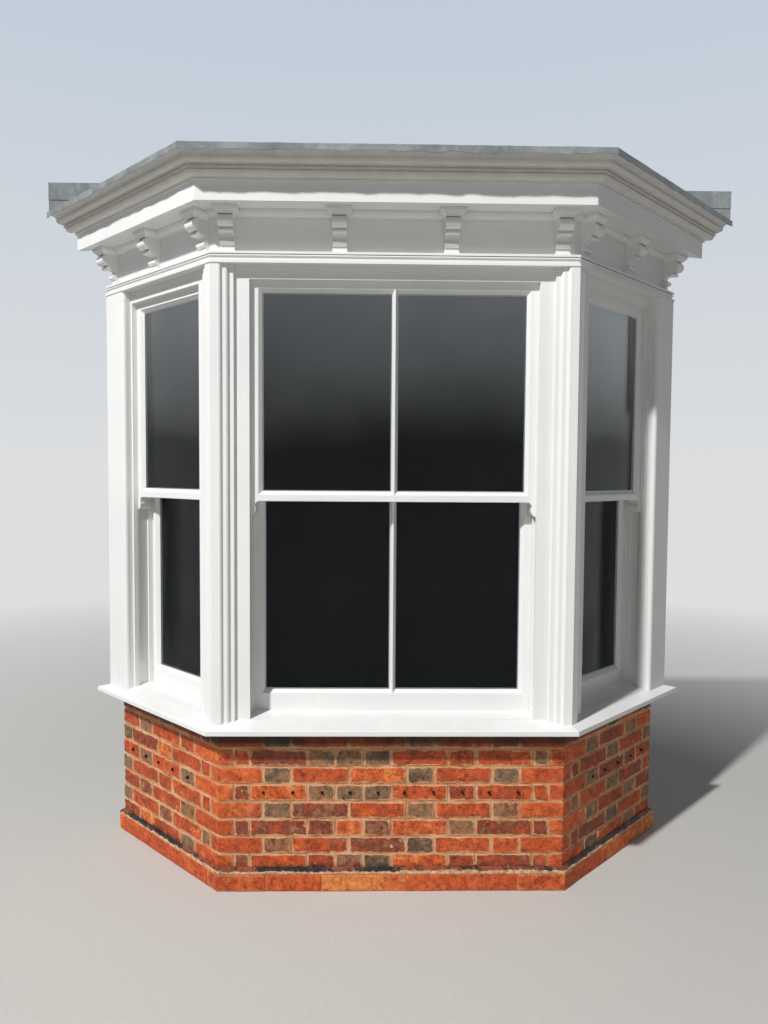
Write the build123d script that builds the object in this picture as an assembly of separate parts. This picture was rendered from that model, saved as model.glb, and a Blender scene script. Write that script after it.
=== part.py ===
from build123d import *
import math
import os

# Splayed timber bay window with three sash windows, on a brick dwarf wall.
# Millimetres, +Z up, ground at z = 0, the front faces -Y.
# The plan is a ring of three facets: right, front, left. Every piece is placed
# by its offset out from the brick face and by its height above the ground.

# Driving dimensions of the plan
front_half = 708.0
bay_depth = 563.0
splay_angle = 45.0
wall_tongue = 102.5
house_opening_half = 1190.0

# Driving dimensions of the brickwork
brick_length = 228.0
brick_height = 64.0
bed_joint = 9.0
courses_above_base = 8
base_course_height = 72.0
base_course_projection = 18.0
sill_bed_joint = 12.0
damp_course_thickness = 5.0
tar_fillet_width = 15.0
tar_fillet_height = 20.0
tar_skin = 2.0

# Driving dimensions of the sill
sill_projection = 86.0
sill_nose_height = 23.0
sill_back_thickness = 22.0
sill_weathering = 0.26
sill_nose_round = 4.0
drip_width = 8.0
drip_depth = 6.0
drip_setback = 12.0

# Driving dimensions of the posts
post_projection = 43.0
fillet_projection = 32.0
step_projection = 19.0
lining_projection = 5.0
arris_flat = 28.0
post_ovolo = 16.0
post_fillet = 10.0
post_flat = 18.0
step_run = 3.0
post_round = 0.75
wall_board_inset = 28.0
wall_bead = 16.0
wall_bead_drop = 18.0
wall_bead_round = 5.5

# Driving dimensions of the window openings
front_opening_margin = 130.3
side_opening_near = 120.0
side_opening_far = 127.7
head_band = 53.0
reveal_depth = 9.0
outer_lining_lip = 1.0
outer_lining_drop = 10.0
outer_lining_thickness = 14.0

# Driving dimensions of the sashes
sash_thickness = 48.0
sash_cover = 13.0
sash_side_clearance = 1.5
sash_face_clearance = 0.3
parting_bead = 21.4
parting_bead_lip = 3.0
staff_bead_lip = 8.0
inner_lining_depth = 35.0
box_width_outward = 58.0
top_rail = 54.7
stile_width = 57.2
meeting_rail = 41.0
bottom_rail = 85.5
bar_width = 22.0
glazing_bevel = 15.0
bar_bevel = 8.0
glass_recess = 14.7
glass_thickness = 14.0
glass_cover = 8.0
glass_edge_gap = 0.3
lower_sash_height = 916.5
upper_sash_height = 887.9
horn_length = 58.0
horn_tip = 14.0
frame_sill_step = 1.5
frame_sill_rise = 11.5
draught_bead = 15.0

# Driving dimensions of the cornice
frieze_projection = 8.0
frieze_thickness = 53.0
mould_projection = 46.0
mould_lower_fillet = 12.0
mould_hollow = 14.0
mould_bead = 7.0
mould_quirk = 3.0
mould_upper_fillet = 11.0
mould_hollow_depth = 9.0
mould_bead_depth = 6.0
mould_bead_round = 3.5
mould_slope = 2.0
soffit_thickness = 18.0
soffit_setback = 3.0
fascia_projection = 135.0
fascia_height = 72.0
fascia_thickness = 20.0
crown_fillet_projection = 7.0
crown_fillet_height = 10.0
crown_shelf = 8.0
crown_ovolo_run = 24.0
crown_ovolo_height = 18.0
crown_quirk = 3.0
crown_band_projection = 5.0
crown_band_height = 10.0
crown_arris_projection = 7.0
crown_arris_height = 4.0
crown_swell_run = 17.0
crown_swell_height = 18.0
crown_hollow_run = 23.0
crown_hollow_height = 23.0
crown_edge_projection = 3.0
crown_edge_height = 2.0
crown_seat = 40.0
bed_mould_height = 30.0
bed_mould_projection = 32.0
bed_fillet = 7.0
bed_foot = 5.0

# Driving dimensions of the brackets
front_bracket_inset = 48.0
side_bracket_inset = 64.0
side_bracket_past_wall = 19.8
bracket_width = 57.0
bracket_flare = 19.0
bracket_cap_neck = 79.0
bracket_cap_reach = 91.0
bracket_cap_fillet = 12.0
bracket_cap_cyma = 20.0
bracket_cap_lip = 2.5
bracket_roll = 45.0
bracket_roll_reach = 66.0
bracket_roll_bulge = 21.0
bracket_quirk = 4.0
bracket_rib = 12.0
bracket_rib_reach = 55.0
bracket_rib_bulge = 6.0
bracket_hollow = 20.0
bracket_hollow_rise = 12.0
bracket_hollow_run = 14.0
bracket_small_roll = 24.0
bracket_small_bulge = 12.0
bracket_foot = 18.0
bracket_foot_reach = 14.0
bracket_pad_spread = 3.0
bracket_pad_height = 7.0
bracket_pad_reach = 20.0

# Driving dimensions of the roof and the inside
deck_edge = 11.0
roof_fall = 0.04
lead_thickness = 3.0
lead_edge_gap = 2.0
lead_drip = 26.0
lead_arris = 2.0
upstand_height = 98.0
flashing_thickness = 3.0
flashing_lap = 75.0
flashing_end_gap = 12.0
joist_width = 47.0
joist_pitch = 330.0
joist_end_gap = 2.0
ceiling_thickness = 12.5
window_board_thickness = 25.0
window_board_nosing = 34.0

# Derived sizes of the plan
half_turn = math.tan(math.radians(splay_angle / 2))
slope_sin = math.sin(math.radians(splay_angle))
slope_cos = math.cos(math.radians(splay_angle))
crown_ovolo = fascia_projection + crown_fillet_projection + crown_shelf + crown_ovolo_run
crown_band = crown_ovolo + crown_band_projection
crown_arris = crown_band + crown_arris_projection
crown_projection = crown_arris + crown_swell_run + crown_hollow_run + crown_edge_projection
lead_projection = crown_projection + lead_edge_gap + lead_thickness
front_reach = bay_depth + lead_projection
wall_y = (front_reach - wall_tongue) / 2
back_y = wall_y + wall_tongue
side_length = bay_depth / slope_sin
front_opening_half = front_half - front_opening_margin
side_opening_half = (side_length - side_opening_near - side_opening_far) / 2
front_bracket_pitch = 2 * (front_half - front_bracket_inset) / 3
side_bracket_pitch = (side_length + side_bracket_past_wall - side_bracket_inset) / 2

# Derived heights, stacked from the ground up
course = brick_height + bed_joint
damp_course_top = base_course_height + damp_course_thickness
plinth_top = base_course_height + course * courses_above_base + sill_bed_joint
frame_sill_bed = plinth_top + sill_back_thickness
sill_nose_top = plinth_top + sill_nose_height
sill_back_top = sill_nose_top + (sill_projection - lining_projection) * sill_weathering
sash_sill_height = sill_back_top + frame_sill_rise
meeting_rail_top = sash_sill_height + lower_sash_height
meeting_rail_height = meeting_rail_top - meeting_rail
upper_sash_top = meeting_rail_height + upper_sash_height
head_height = upper_sash_top - outer_lining_drop
post_top_height = head_height + head_band
mould_bead_low = post_top_height + mould_lower_fillet + mould_hollow
mould_top = mould_bead_low + mould_bead + mould_quirk + mould_upper_fillet
foot_top = mould_top + bracket_pad_height + bracket_foot
small_roll_top = foot_top + bracket_small_roll
rib_bottom = small_roll_top + bracket_hollow
rib_top = rib_bottom + bracket_rib
roll_bottom = rib_top + bracket_quirk
cap_bottom = roll_bottom + bracket_roll
soffit_height = cap_bottom + bracket_cap_cyma + bracket_cap_fillet
joist_bottom = soffit_height + soffit_thickness
fascia_bottom = soffit_height - soffit_setback
fascia_top = fascia_bottom + fascia_height
crown_band_low = fascia_top + crown_fillet_height + crown_ovolo_height + crown_quirk
crown_step = crown_band_low + crown_band_height + crown_quirk
crown_swell_low = crown_step + crown_arris_height
crown_top = crown_swell_low + crown_swell_height + crown_hollow_height + crown_edge_height

# Derived offsets through the thickness of a window
reveal_back = lining_projection - reveal_depth
frieze_back = frieze_projection - frieze_thickness
upper_sash_face = reveal_back - outer_lining_thickness
upper_sash_back = upper_sash_face - sash_face_clearance - sash_thickness
lower_sash_face = upper_sash_back - sash_face_clearance - parting_bead
lower_sash_back = lower_sash_face - sash_face_clearance - sash_thickness
staff_bead_face = lower_sash_back - sash_face_clearance
frame_back = staff_bead_face - inner_lining_depth
side_centre = side_opening_near + side_opening_half


class Facet:
    """One straight side of the bay, with its own along, outward and up directions."""

    def __init__(self, corner, along, centre):
        # corner is the facet's start on the brick face, along its direction in plan
        self.corner = corner
        self.along = along
        self.outward = (-along[1], along[0])
        self.centre = centre

    def point(self, run, offset):
        x = self.corner[0] + run * self.along[0] + offset * self.outward[0]
        y = self.corner[1] + run * self.along[1] + offset * self.outward[1]
        return (x, y)

    def plane(self, run, offset=0.0, height=0.0):
        # local x runs outward, local y runs up, local z runs along the facet
        x, y = self.point(run, offset)
        return Plane(
            origin=(x, y, height),
            x_dir=(self.outward[0], self.outward[1], 0),
            z_dir=(self.along[0], self.along[1], 0),
        )

    def block(self, run_low, run_high, offset_low, offset_high, low, high):
        corners = [
            self.point(run_low, offset_low),
            self.point(run_high, offset_low),
            self.point(run_high, offset_high),
            self.point(run_low, offset_high),
        ]
        return prism(corners, low, high)


def prism(corners, low, high):
    """Upright solid over a closed plan outline."""
    face = make_face(Polyline(*[(x, y, low) for x, y in corners], close=True))
    return extrude(face, amount=high - low, dir=(0, 0, 1))


def outline(points):
    """Flat face from a list of points and of arcs, each arc given as a middle point and an end."""
    edges = []
    here = points[0]
    for item in points[1:] + [points[0]]:
        if isinstance(item[0], tuple):
            edges.append(ThreePointArc(here, item[0], item[1]))
            here = item[1]
        else:
            edges.append(Line(here, item))
            here = item
    return make_face(edges)


front_y = wall_y - bay_depth
front = Facet((front_half, front_y), (-1.0, 0.0), front_half)
left = Facet((-front_half, front_y), (-slope_cos, slope_sin), side_centre)
right_start = (front_half + bay_depth * slope_cos / slope_sin, wall_y)
right = Facet(right_start, (-slope_cos, -slope_sin), side_length - side_centre)


def ring_corners(offset):
    """Front corner points of the ring at this offset, right one first."""
    half = front_half + offset * half_turn
    y = front_y - offset
    return (half, y), (-half, y)


def ring_end(offset, y=wall_y):
    """Half width of the ring at this offset where it meets the plane at y."""
    half = front_half + offset * half_turn
    return half + (y - front_y + offset) * slope_cos / slope_sin


def ring_outline(outer, inner):
    """Plan of a band between two offsets, let into the house opening at its ends."""
    outer_right, outer_left = ring_corners(outer)
    inner_right, inner_left = ring_corners(inner)
    outer_end = ring_end(outer)
    return [
        outer_left,
        outer_right,
        (outer_end, wall_y),
        (house_opening_half, wall_y),
        (house_opening_half, back_y),
        (ring_end(inner, back_y), back_y),
        inner_right,
        inner_left,
        (-ring_end(inner, back_y), back_y),
        (-house_opening_half, back_y),
        (-house_opening_half, wall_y),
        (-outer_end, wall_y),
    ]


# Sectors of the plan, one for each facet, that meet at the mitres and end at the house
reach = 2 * lead_projection
overrun = 2 * front_half
room_side = -bay_depth
front_out_right, front_out_left = ring_corners(reach)
front_in_right, front_in_left = ring_corners(room_side)
clear_height = 2 * crown_top
front_sector = prism([front_out_left, front_out_right, front_in_right, front_in_left], 0, clear_height)
side_plan = [
    front_in_right,
    front_out_right,
    (front_out_right[0] + 2 * overrun, front_out_right[1]),
    (front_out_right[0] + 2 * overrun, wall_y),
    (house_opening_half, wall_y),
    (house_opening_half, back_y),
    (front_in_right[0], back_y),
]
right_sector = prism(side_plan, 0, clear_height)
left_sector = prism([(-x, y) for x, y in side_plan], 0, clear_height)
far_x = front_out_right[0] + 2 * overrun
far_y = front_out_right[1]
outside = prism([(-far_x, far_y), (far_x, far_y), (far_x, wall_y), (-far_x, wall_y)], 0, clear_height)
facets = {
    "front": (front, front_sector, 2 * front_half),
    "left": (left, left_sector, side_length),
    "right": (right, right_sector, side_length),
}


def run_round(name, profile):
    """A moulding of this profile along one facet, mitred at the corners and cut at the wall."""
    facet, sector, length = facets[name]
    placed = facet.plane(-overrun) * profile
    bar = extrude(placed, amount=length + 2 * overrun, dir=(facet.along[0], facet.along[1], 0))
    return bar & sector


def mirror_across(shape):
    return mirror(shape, about=Plane.YZ)


def write(shape, name):
    """One STEP file for each piece, named after it."""
    solids = shape.solids()
    result = solids[0] if len(solids) == 1 else Compound(children=list(solids))
    result.label = name
    export_step(result, "parts/" + name + ".step")
    print(name, len(solids), "solids", round(sum(s.volume for s in solids) / 1000), "cm3")


# Brickwork: a proud base course, the damp course and the dwarf wall in one thickness of bricks
def base_course():
    wide = base_course_projection
    return prism(ring_outline(wide, -brick_length), 0, base_course_height)


def damp_proof_course():
    """Thin course under the wall, with a tar fillet in the angle on the base course."""
    fillet_top = damp_course_top + tar_fillet_height
    profile = outline([
        (-brick_length, base_course_height),
        (tar_fillet_width, base_course_height),
        (tar_fillet_width, damp_course_top),
        (tar_skin, fillet_top),
        (0, fillet_top),
        (0, damp_course_top),
        (-brick_length, damp_course_top),
    ])
    return (run_round("front", profile) + run_round("left", profile) + run_round("right", profile)).clean()


def brick_dwarf_wall():
    return prism(ring_outline(0, -brick_length), damp_course_top, plinth_top)


# Sill: a weathered plank with a rounded nose, a drip groove and a bed for the frames
def sill_profile():
    nose = sill_nose_round
    low = plinth_top
    out = sill_projection
    drip = out - drip_setback
    turn = nose * (1 - math.sqrt(0.5))
    points = [
        (-brick_length, low),
        (drip - drip_width, low),
        (drip - drip_width, low + drip_depth),
        (drip, low + drip_depth),
        (drip, low),
        (out - nose, low),
        ((out - turn, low + turn), (out, low + nose)),
        (out, sill_nose_top - nose),
        ((out - turn, sill_nose_top - turn), (out - nose, sill_nose_top)),
        (lining_projection, sill_back_top),
        (lining_projection, frame_sill_bed),
        (-brick_length, frame_sill_bed),
    ]
    return outline(points)


# Posts: the moulded face steps down from the arris to the lining beside each window
def moulded_steps(reveal_run):
    """Points (run from the arris, offset) of the moulded face, as far as the reveal."""
    first = arris_flat + post_ovolo
    second = first + post_fillet + post_ovolo
    step = second + post_flat
    upper_middle = post_projection - (post_projection - fillet_projection) * (1 - post_round)
    lower_middle = fillet_projection - (fillet_projection - step_projection) * (1 - post_round)
    round_run = post_ovolo * post_round
    return [
        (arris_flat, post_projection),
        ((arris_flat + round_run, upper_middle), (first, fillet_projection)),
        (first + post_fillet, fillet_projection),
        ((first + post_fillet + round_run, lower_middle), (second, step_projection)),
        (step, step_projection),
        (step + step_run, lining_projection),
        (reveal_run, lining_projection),
        (reveal_run, reveal_back),
    ]


def half_post(facet, start, direction, reveal_run):
    """Half of a corner post, on one side of the corner's mitre plane."""

    def placed(pair):
        run, offset = pair
        return facet.point(start + direction * run, offset)

    inner_run = (post_projection - reveal_back) * half_turn
    here = placed((0, post_projection))
    edges = []
    for item in moulded_steps(reveal_run) + [(inner_run, reveal_back), (0, post_projection)]:
        if isinstance(item[0], tuple):
            middle = placed(item[0])
            end = placed(item[1])
            edges.append(ThreePointArc(here, middle, end))
        else:
            end = placed(item)
            edges.append(Line(here, end))
        here = end
    face = make_face(edges)
    low = frame_sill_bed
    return extrude(Pos(0, 0, low) * face, amount=post_top_height - low, dir=(0, 0, 1))


def corner_post_left(sill):
    arris_shift = post_projection * half_turn
    front_run = front_half + arris_shift - front_opening_half
    side_run = side_opening_near + arris_shift
    front_part = half_post(front, 2 * front_half + arris_shift, -1, front_run)
    side_part = half_post(left, -arris_shift, 1, side_run)
    post = (front_part + side_part).clean()
    return post - sill


def wall_post_left(sill):
    """Flat board against the house with a bead and a lining beside the window."""
    edge = side_opening_near + 2 * side_opening_half
    board_edge = edge + wall_board_inset
    bead_end = board_edge - wall_bead
    low_bead = post_projection - wall_bead_drop
    far = side_length + 2 * post_projection
    outer = left.point(far, post_projection)
    start = left.point(board_edge, post_projection)
    bead_middle = left.point(board_edge - wall_bead * post_round, post_projection - wall_bead_round)
    bead_low = left.point(bead_end, low_bead)
    lining_out = left.point(bead_end, lining_projection)
    lining_in = left.point(edge, lining_projection)
    back_in = left.point(edge, reveal_back)
    back_out = left.point(far, reveal_back)
    edges = [
        Line(outer, start),
        ThreePointArc(start, bead_middle, bead_low),
        Line(bead_low, lining_out),
        Line(lining_out, lining_in),
        Line(lining_in, back_in),
        Line(back_in, back_out),
        Line(back_out, outer),
    ]
    low = frame_sill_bed
    solid = extrude(Pos(0, 0, low) * make_face(edges), amount=post_top_height - low, dir=(0, 0, 1))
    return (solid & left_sector) - sill


# Sash boxes: jambs, head, beads and an inner sill around each pair of sashes
def sash_box(name, half, near_extra, far_extra):
    facet, sector, _ = facets[name]
    middle = facet.centre
    seat = half - outer_lining_lip + sash_cover
    spare = sash_cover
    top = post_top_height
    low = frame_sill_bed
    near = middle - seat - near_extra
    far = middle + seat + far_extra
    box = facet.block(near, far, frame_back, reveal_back, low, top)

    def cut(width, offset_low, offset_high, height):
        return facet.block(middle - width, middle + width, offset_low, offset_high, low, height)

    lip = outer_lining_lip
    box -= cut(half - lip, upper_sash_face, reveal_back + spare, head_height - lip)
    box -= cut(seat, upper_sash_back - sash_face_clearance, upper_sash_face, upper_sash_top)
    box -= cut(half - parting_bead_lip, lower_sash_face, upper_sash_back, head_height)
    box -= cut(seat, staff_bead_face, lower_sash_face, upper_sash_top)
    box -= cut(half - staff_bead_lip, frame_back - spare, staff_bead_face, head_height - outer_lining_drop)
    front_height = sill_back_top + frame_sill_step
    bead_top = sash_sill_height + draught_bead
    sill_points = [
        (lining_projection, low),
        (lining_projection, front_height),
        (lower_sash_face, sash_sill_height),
        (staff_bead_face, sash_sill_height),
        (staff_bead_face, bead_top),
        (frame_back, bead_top),
        (frame_back, low),
    ]
    section = facet.plane(middle - seat) * outline(sill_points)
    sill = extrude(section, amount=2 * seat, dir=(facet.along[0], facet.along[1], 0))
    clear = lining_projection + spare
    sill -= facet.block(middle - seat - spare, middle - half, reveal_back, clear, low, top)
    sill -= facet.block(middle + half, middle + seat + spare, reveal_back, clear, low, top)
    return (box + sill).clean() & sector


# Sashes: mortised frames with a bevel round each pane, horns below the upper ones
def pane_cut(facet, span, low, high, face, sash_back):
    """Opening for one pane: bevelled outside, a seat for the glass, square inside."""
    run_low, run_high, left_bevel, right_bevel = span
    seat = face - glass_recess
    lift = sash_face_clearance
    grow = (glass_recess + lift) / glass_recess
    outer_low = run_low - left_bevel * grow
    outer_high = run_high + right_bevel * grow
    rise = glazing_bevel * grow
    inner = rectangle_on(facet, seat, run_low, run_high, low, high)
    outer = rectangle_on(facet, face + lift, outer_low, outer_high, low - rise, high + rise)
    taper = loft([inner, outer], ruled=True)
    pocket = facet.block(
        run_low - glass_cover - glass_edge_gap,
        run_high + glass_cover + glass_edge_gap,
        seat - glass_thickness - glass_edge_gap,
        seat,
        low - glass_cover - glass_edge_gap,
        high + glass_cover + glass_edge_gap,
    )
    through = facet.block(run_low, run_high, sash_back - lift, seat, low, high)
    return taper + pocket + through


def rectangle_on(facet, offset, run_low, run_high, low, high):
    points = []
    for run, height in ((run_low, low), (run_high, low), (run_high, high), (run_low, high)):
        x, y = facet.point(run, offset)
        points.append((x, y, height))
    return make_face(Polyline(*points, close=True))


def pane_spans(name, glass_half):
    """Run from and to of each pane across the sash, with the bevel on each side."""
    middle = facets[name][0].centre
    if name != "front":
        return [(middle - glass_half, middle + glass_half, glazing_bevel, glazing_bevel)]
    bar = bar_width / 2
    return [
        (middle - glass_half, middle - bar, glazing_bevel, bar_bevel),
        (middle + bar, middle + glass_half, bar_bevel, glazing_bevel),
    ]


def sash_halves(half):
    outer = half - outer_lining_lip + sash_cover - sash_side_clearance
    return outer, outer - stile_width


def upper_sash(name, half):
    facet = facets[name][0]
    middle = facet.centre
    outer, glass_half = sash_halves(half)
    face = upper_sash_face - sash_face_clearance
    back = face - sash_thickness
    low = meeting_rail_height
    top = upper_sash_top
    sash = facet.block(middle - outer, middle + outer, back, face, low, top)
    for side in (-1, 1):
        sash += horn(facet, middle + side * outer, -side, face, back, low)
    for span in pane_spans(name, glass_half):
        sash -= pane_cut(facet, span, low + meeting_rail, top - top_rail, face, back)
    return sash.clean()


def horn(facet, run, direction, face, back, top):
    """Moulded horn that carries a stile on below the meeting rail."""
    width = stile_width - glazing_bevel
    waist = (width * 0.62, top - horn_length * 0.3)
    swell = (width * 0.72, top - horn_length * 0.62)
    throat = (width * 0.78, top - horn_length * 0.1)
    lap = top + draught_bead
    points = [
        (0, lap),
        (0, top - horn_length),
        (horn_tip, top - horn_length),
        (swell, waist),
        (throat, (width, top)),
        (width, lap),
    ]
    edges = []
    here = horn_point(facet, run, direction, points[0])
    for item in points[1:] + points[:1]:
        if isinstance(item[0], tuple):
            end = horn_point(facet, run, direction, item[1])
            edges.append(ThreePointArc(here, horn_point(facet, run, direction, item[0]), end))
        else:
            end = horn_point(facet, run, direction, item)
            edges.append(Line(here, end))
        here = end
    x, y = facet.outward
    sheet = Pos(x * back, y * back, 0) * make_face(edges)
    return extrude(sheet, amount=face - back, dir=(x, y, 0))


def horn_point(facet, run, direction, pair):
    """Point of the horn's outline on the brick face's upright plane."""
    x, y = facet.point(run + direction * pair[0], 0)
    return (x, y, pair[1])


def lower_sash(name, half):
    facet = facets[name][0]
    middle = facet.centre
    outer, glass_half = sash_halves(half)
    face = lower_sash_face - sash_face_clearance
    back = face - sash_thickness
    low = sash_sill_height
    top = meeting_rail_top
    sash = facet.block(middle - outer, middle + outer, back, face, low, top)
    lip_half = half - parting_bead_lip - 2 * sash_side_clearance
    meet = upper_sash_back - sash_face_clearance
    for span in pane_spans(name, glass_half):
        sash -= pane_cut(facet, span, low + bottom_rail, meeting_rail_height, face, back)
    sash += facet.block(middle - lip_half, middle + lip_half, face, meet, meeting_rail_height, top)
    return sash.clean()


def glass(name, half):
    """Sealed double panes of both sashes of one window."""
    facet = facets[name][0]
    _, glass_half = sash_halves(half)
    rows = [
        (meeting_rail_top, upper_sash_top - top_rail, upper_sash_face),
        (sash_sill_height + bottom_rail, meeting_rail_height, lower_sash_face),
    ]
    panes = []
    for low, high, sash_face in rows:
        outside = sash_face - sash_face_clearance - glass_recess
        for span in pane_spans(name, glass_half):
            near = span[0] - glass_cover
            far = span[1] + glass_cover
            inside = outside - glass_thickness
            panes.append(facet.block(near, far, inside, outside, low - glass_cover, high + glass_cover))
    return Compound(children=panes)


# Frieze: a lintel over each window, deeper between the posts
def frieze(name, half):
    facet = facets[name][0]
    beam = run_round(name, outline([
        (frieze_back, post_top_height),
        (frieze_projection, post_top_height),
        (frieze_projection, joist_bottom),
        (frieze_back, joist_bottom),
    ]))
    near = facet.centre - half
    far = facet.centre + half
    drop = facet.block(near, far, reveal_back, lining_projection, head_height, post_top_height)
    return (beam + drop).clean()


def cove(start, end):
    """Hollow quarter that leaves its start upright and reaches its end level."""
    across = 1 - math.sqrt(0.5)
    up = math.sqrt(0.5)
    middle = (start[0] + (end[0] - start[0]) * across, start[1] + (end[1] - start[1]) * up)
    return (middle, end)


def round_over(start, end):
    """Round quarter that leaves its start level and reaches its end upright."""
    across = math.sqrt(0.5)
    up = 1 - math.sqrt(0.5)
    middle = (start[0] + (end[0] - start[0]) * across, start[1] + (end[1] - start[1]) * up)
    return (middle, end)


def head_mould_profile():
    """Lower fillet, hollow, bead and top fillet."""
    low = post_top_height
    out = mould_projection
    hollow = low + mould_lower_fillet
    deep = out - mould_hollow_depth
    bead = out - mould_bead_depth
    bead_top = mould_bead_low + mould_bead
    bead_middle = (bead + mould_bead_round, mould_bead_low + mould_bead / 2)
    fillet = bead_top + mould_quirk
    return outline([
        (frieze_projection, low),
        (out, low),
        (out, hollow),
        (deep, hollow),
        cove((deep, hollow), (bead, mould_bead_low)),
        (bead_middle, (bead, bead_top)),
        (deep, bead_top),
        (deep, fillet),
        (out - mould_slope, fillet),
        (out - mould_slope, mould_top - mould_slope),
        (frieze_projection, mould_top),
    ])


def bed_mould_profile():
    """Foot fillet, ovolo and top fillet in the angle between the frieze and the soffit."""
    high = soffit_height
    low = high - bed_mould_height
    near = frieze_projection + bed_foot
    out = frieze_projection + bed_mould_projection
    shoulder = high - bed_fillet
    foot = low + bed_foot
    return outline([
        (frieze_projection, low),
        (near, low),
        (near, foot),
        round_over((near, foot), (out - bed_foot, shoulder)),
        (out, shoulder),
        (out, high),
        (frieze_projection, high),
    ])


def soffit_profile():
    back = fascia_projection - fascia_thickness
    return outline([
        (frieze_projection, soffit_height),
        (back, soffit_height),
        (back, joist_bottom),
        (frieze_projection, joist_bottom),
    ])


def fascia_profile():
    back = fascia_projection - fascia_thickness
    return outline([
        (back, fascia_bottom),
        (fascia_projection, fascia_bottom),
        (fascia_projection, fascia_top),
        (back, fascia_top),
    ])


def crown_profile():
    """Fillet, ovolo and band below, then a cyma that flares to the edge behind the lead."""
    low = fascia_top
    fillet = fascia_projection + crown_fillet_projection
    shelf = low + crown_fillet_height
    ovolo_start = (fillet + crown_shelf, shelf)
    ovolo_end = (crown_ovolo, shelf + crown_ovolo_height)
    band_top = crown_band_low + crown_band_height
    swell_end = (crown_arris + crown_swell_run, crown_swell_low + crown_swell_height)
    flare_end = (swell_end[0] + crown_hollow_run, swell_end[1] + crown_hollow_height)
    return outline([
        (fascia_projection - crown_seat, low),
        (fillet, low),
        (fillet, shelf),
        ovolo_start,
        round_over(ovolo_start, ovolo_end),
        (crown_ovolo - crown_quirk, ovolo_end[1]),
        (crown_ovolo - crown_quirk, crown_band_low),
        (crown_band, crown_band_low),
        (crown_band, band_top),
        (crown_band - crown_quirk, band_top),
        (crown_band - crown_quirk, crown_step),
        (crown_arris, crown_step),
        (crown_arris, crown_swell_low),
        round_over((crown_arris, crown_swell_low), swell_end),
        cove(swell_end, flare_end),
        (crown_projection, flare_end[1]),
        (crown_projection, crown_top),
        (fascia_projection - crown_seat, crown_top),
    ])


# Brackets: a scrolled console under the soffit, with the bed mould returned round its head
def bracket_side():
    """Side outline in (offset, height): foot, small roll, hollow, rib, quirk, then the big roll."""
    back = frieze_projection
    foot = back + bracket_foot_reach
    foot_low = mould_top + bracket_pad_height
    hollow = (foot, rib_bottom - bracket_hollow_rise)
    small_roll = (foot + bracket_small_bulge, (foot_top + small_roll_top) / 2)
    rib = (bracket_rib_reach + bracket_rib_bulge, (rib_bottom + rib_top) / 2)
    roll = (bracket_roll_reach + bracket_roll_bulge, (roll_bottom + cap_bottom) / 2)
    return outline([
        (back, foot_low),
        (foot, foot_low),
        (foot, foot_top),
        (small_roll, (foot, small_roll_top)),
        hollow,
        cove(hollow, (foot + bracket_hollow_run, rib_bottom)),
        (bracket_rib_reach, rib_bottom),
        (rib, (bracket_rib_reach, rib_top)),
        (bracket_rib_reach, roll_bottom),
        (bracket_roll_reach, roll_bottom),
        (roll, (bracket_roll_reach, cap_bottom)),
        (back, cap_bottom),
    ])


def bracket_head(facet, run):
    """Flared head: a spreading cyma and a fillet, wider and deeper than the shaft."""
    low = bracket_width / 2
    high = low + bracket_flare
    back = frieze_projection
    neck = bracket_cap_neck
    lip = cap_bottom + bracket_cap_cyma
    layers = []
    steps = 6
    for i in range(steps + 1):
        share = i / steps
        swell = share - math.sin(2 * math.pi * share) / (4 * math.pi)
        half = low + (high - low) * swell
        out = neck + (bracket_cap_reach - neck) * swell
        height = cap_bottom + bracket_cap_cyma * share
        corners = [
            facet.point(run - half, back),
            facet.point(run + half, back),
            facet.point(run + half, out),
            facet.point(run - half, out),
        ]
        layers.append(make_face(Polyline(*[(x, y, height) for x, y in corners], close=True)))
    flare = loft(layers, ruled=True)
    wide = high + bracket_cap_lip
    top_out = bracket_cap_reach + bracket_cap_lip
    return flare + facet.block(run - wide, run + wide, back, top_out, lip, soffit_height)


def bracket(facet, run):
    along = (facet.along[0], facet.along[1], 0)
    shaft = extrude(facet.plane(run - bracket_width / 2) * bracket_side(), amount=bracket_width, dir=along)
    half = bracket_width / 2 + bracket_pad_spread
    pad_out = frieze_projection + bracket_pad_reach
    pad_low = mould_top - mould_slope
    pad_top = mould_top + bracket_pad_height
    pad = facet.block(run - half, run + half, frieze_projection, pad_out, pad_low, pad_top)
    return shaft + bracket_head(facet, run) + pad


def bracket_runs(name):
    length = facets[name][2]
    if name == "front":
        return [front_bracket_inset + front_bracket_pitch * i for i in range(4)]
    runs = [side_bracket_inset + side_bracket_pitch * i for i in range(3)]
    if name == "right":
        runs = [length - run for run in runs]
    return runs


def brackets(name, mould):
    facet, sector, _ = facets[name]
    row = []
    for run in bracket_runs(name):
        piece = (bracket(facet, run).clean() & sector) - mould
        row += piece.solids()
    return Compound(children=row)


# Roof: firred deck on joists, one lead sheet turned down over the crown and up the wall
def deck_top(offset):
    return crown_top + deck_edge + (crown_projection - offset) * roof_fall


upstand_top = deck_top(room_side) + lead_thickness + upstand_height


def deck_profile():
    edge = crown_projection
    return outline([
        (edge, crown_top),
        (edge, deck_top(edge)),
        (room_side, deck_top(room_side)),
        (room_side, crown_top),
    ])


def lead_profile():
    edge = crown_projection + lead_edge_gap
    out = lead_projection
    rise = lead_thickness
    low = deck_top(edge) + rise - lead_drip
    return outline([
        (edge, low),
        (out, low),
        (out, deck_top(out) + rise - lead_arris),
        (out - lead_arris, deck_top(out) + rise),
        (room_side, deck_top(room_side) + rise),
        (room_side, deck_top(room_side)),
        (edge, deck_top(edge)),
    ])


def all_round(profile):
    """One piece round all three facets, in front of the house wall."""
    shape = run_round("front", profile) + run_round("left", profile) + run_round("right", profile)
    return shape.clean() & outside


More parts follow.
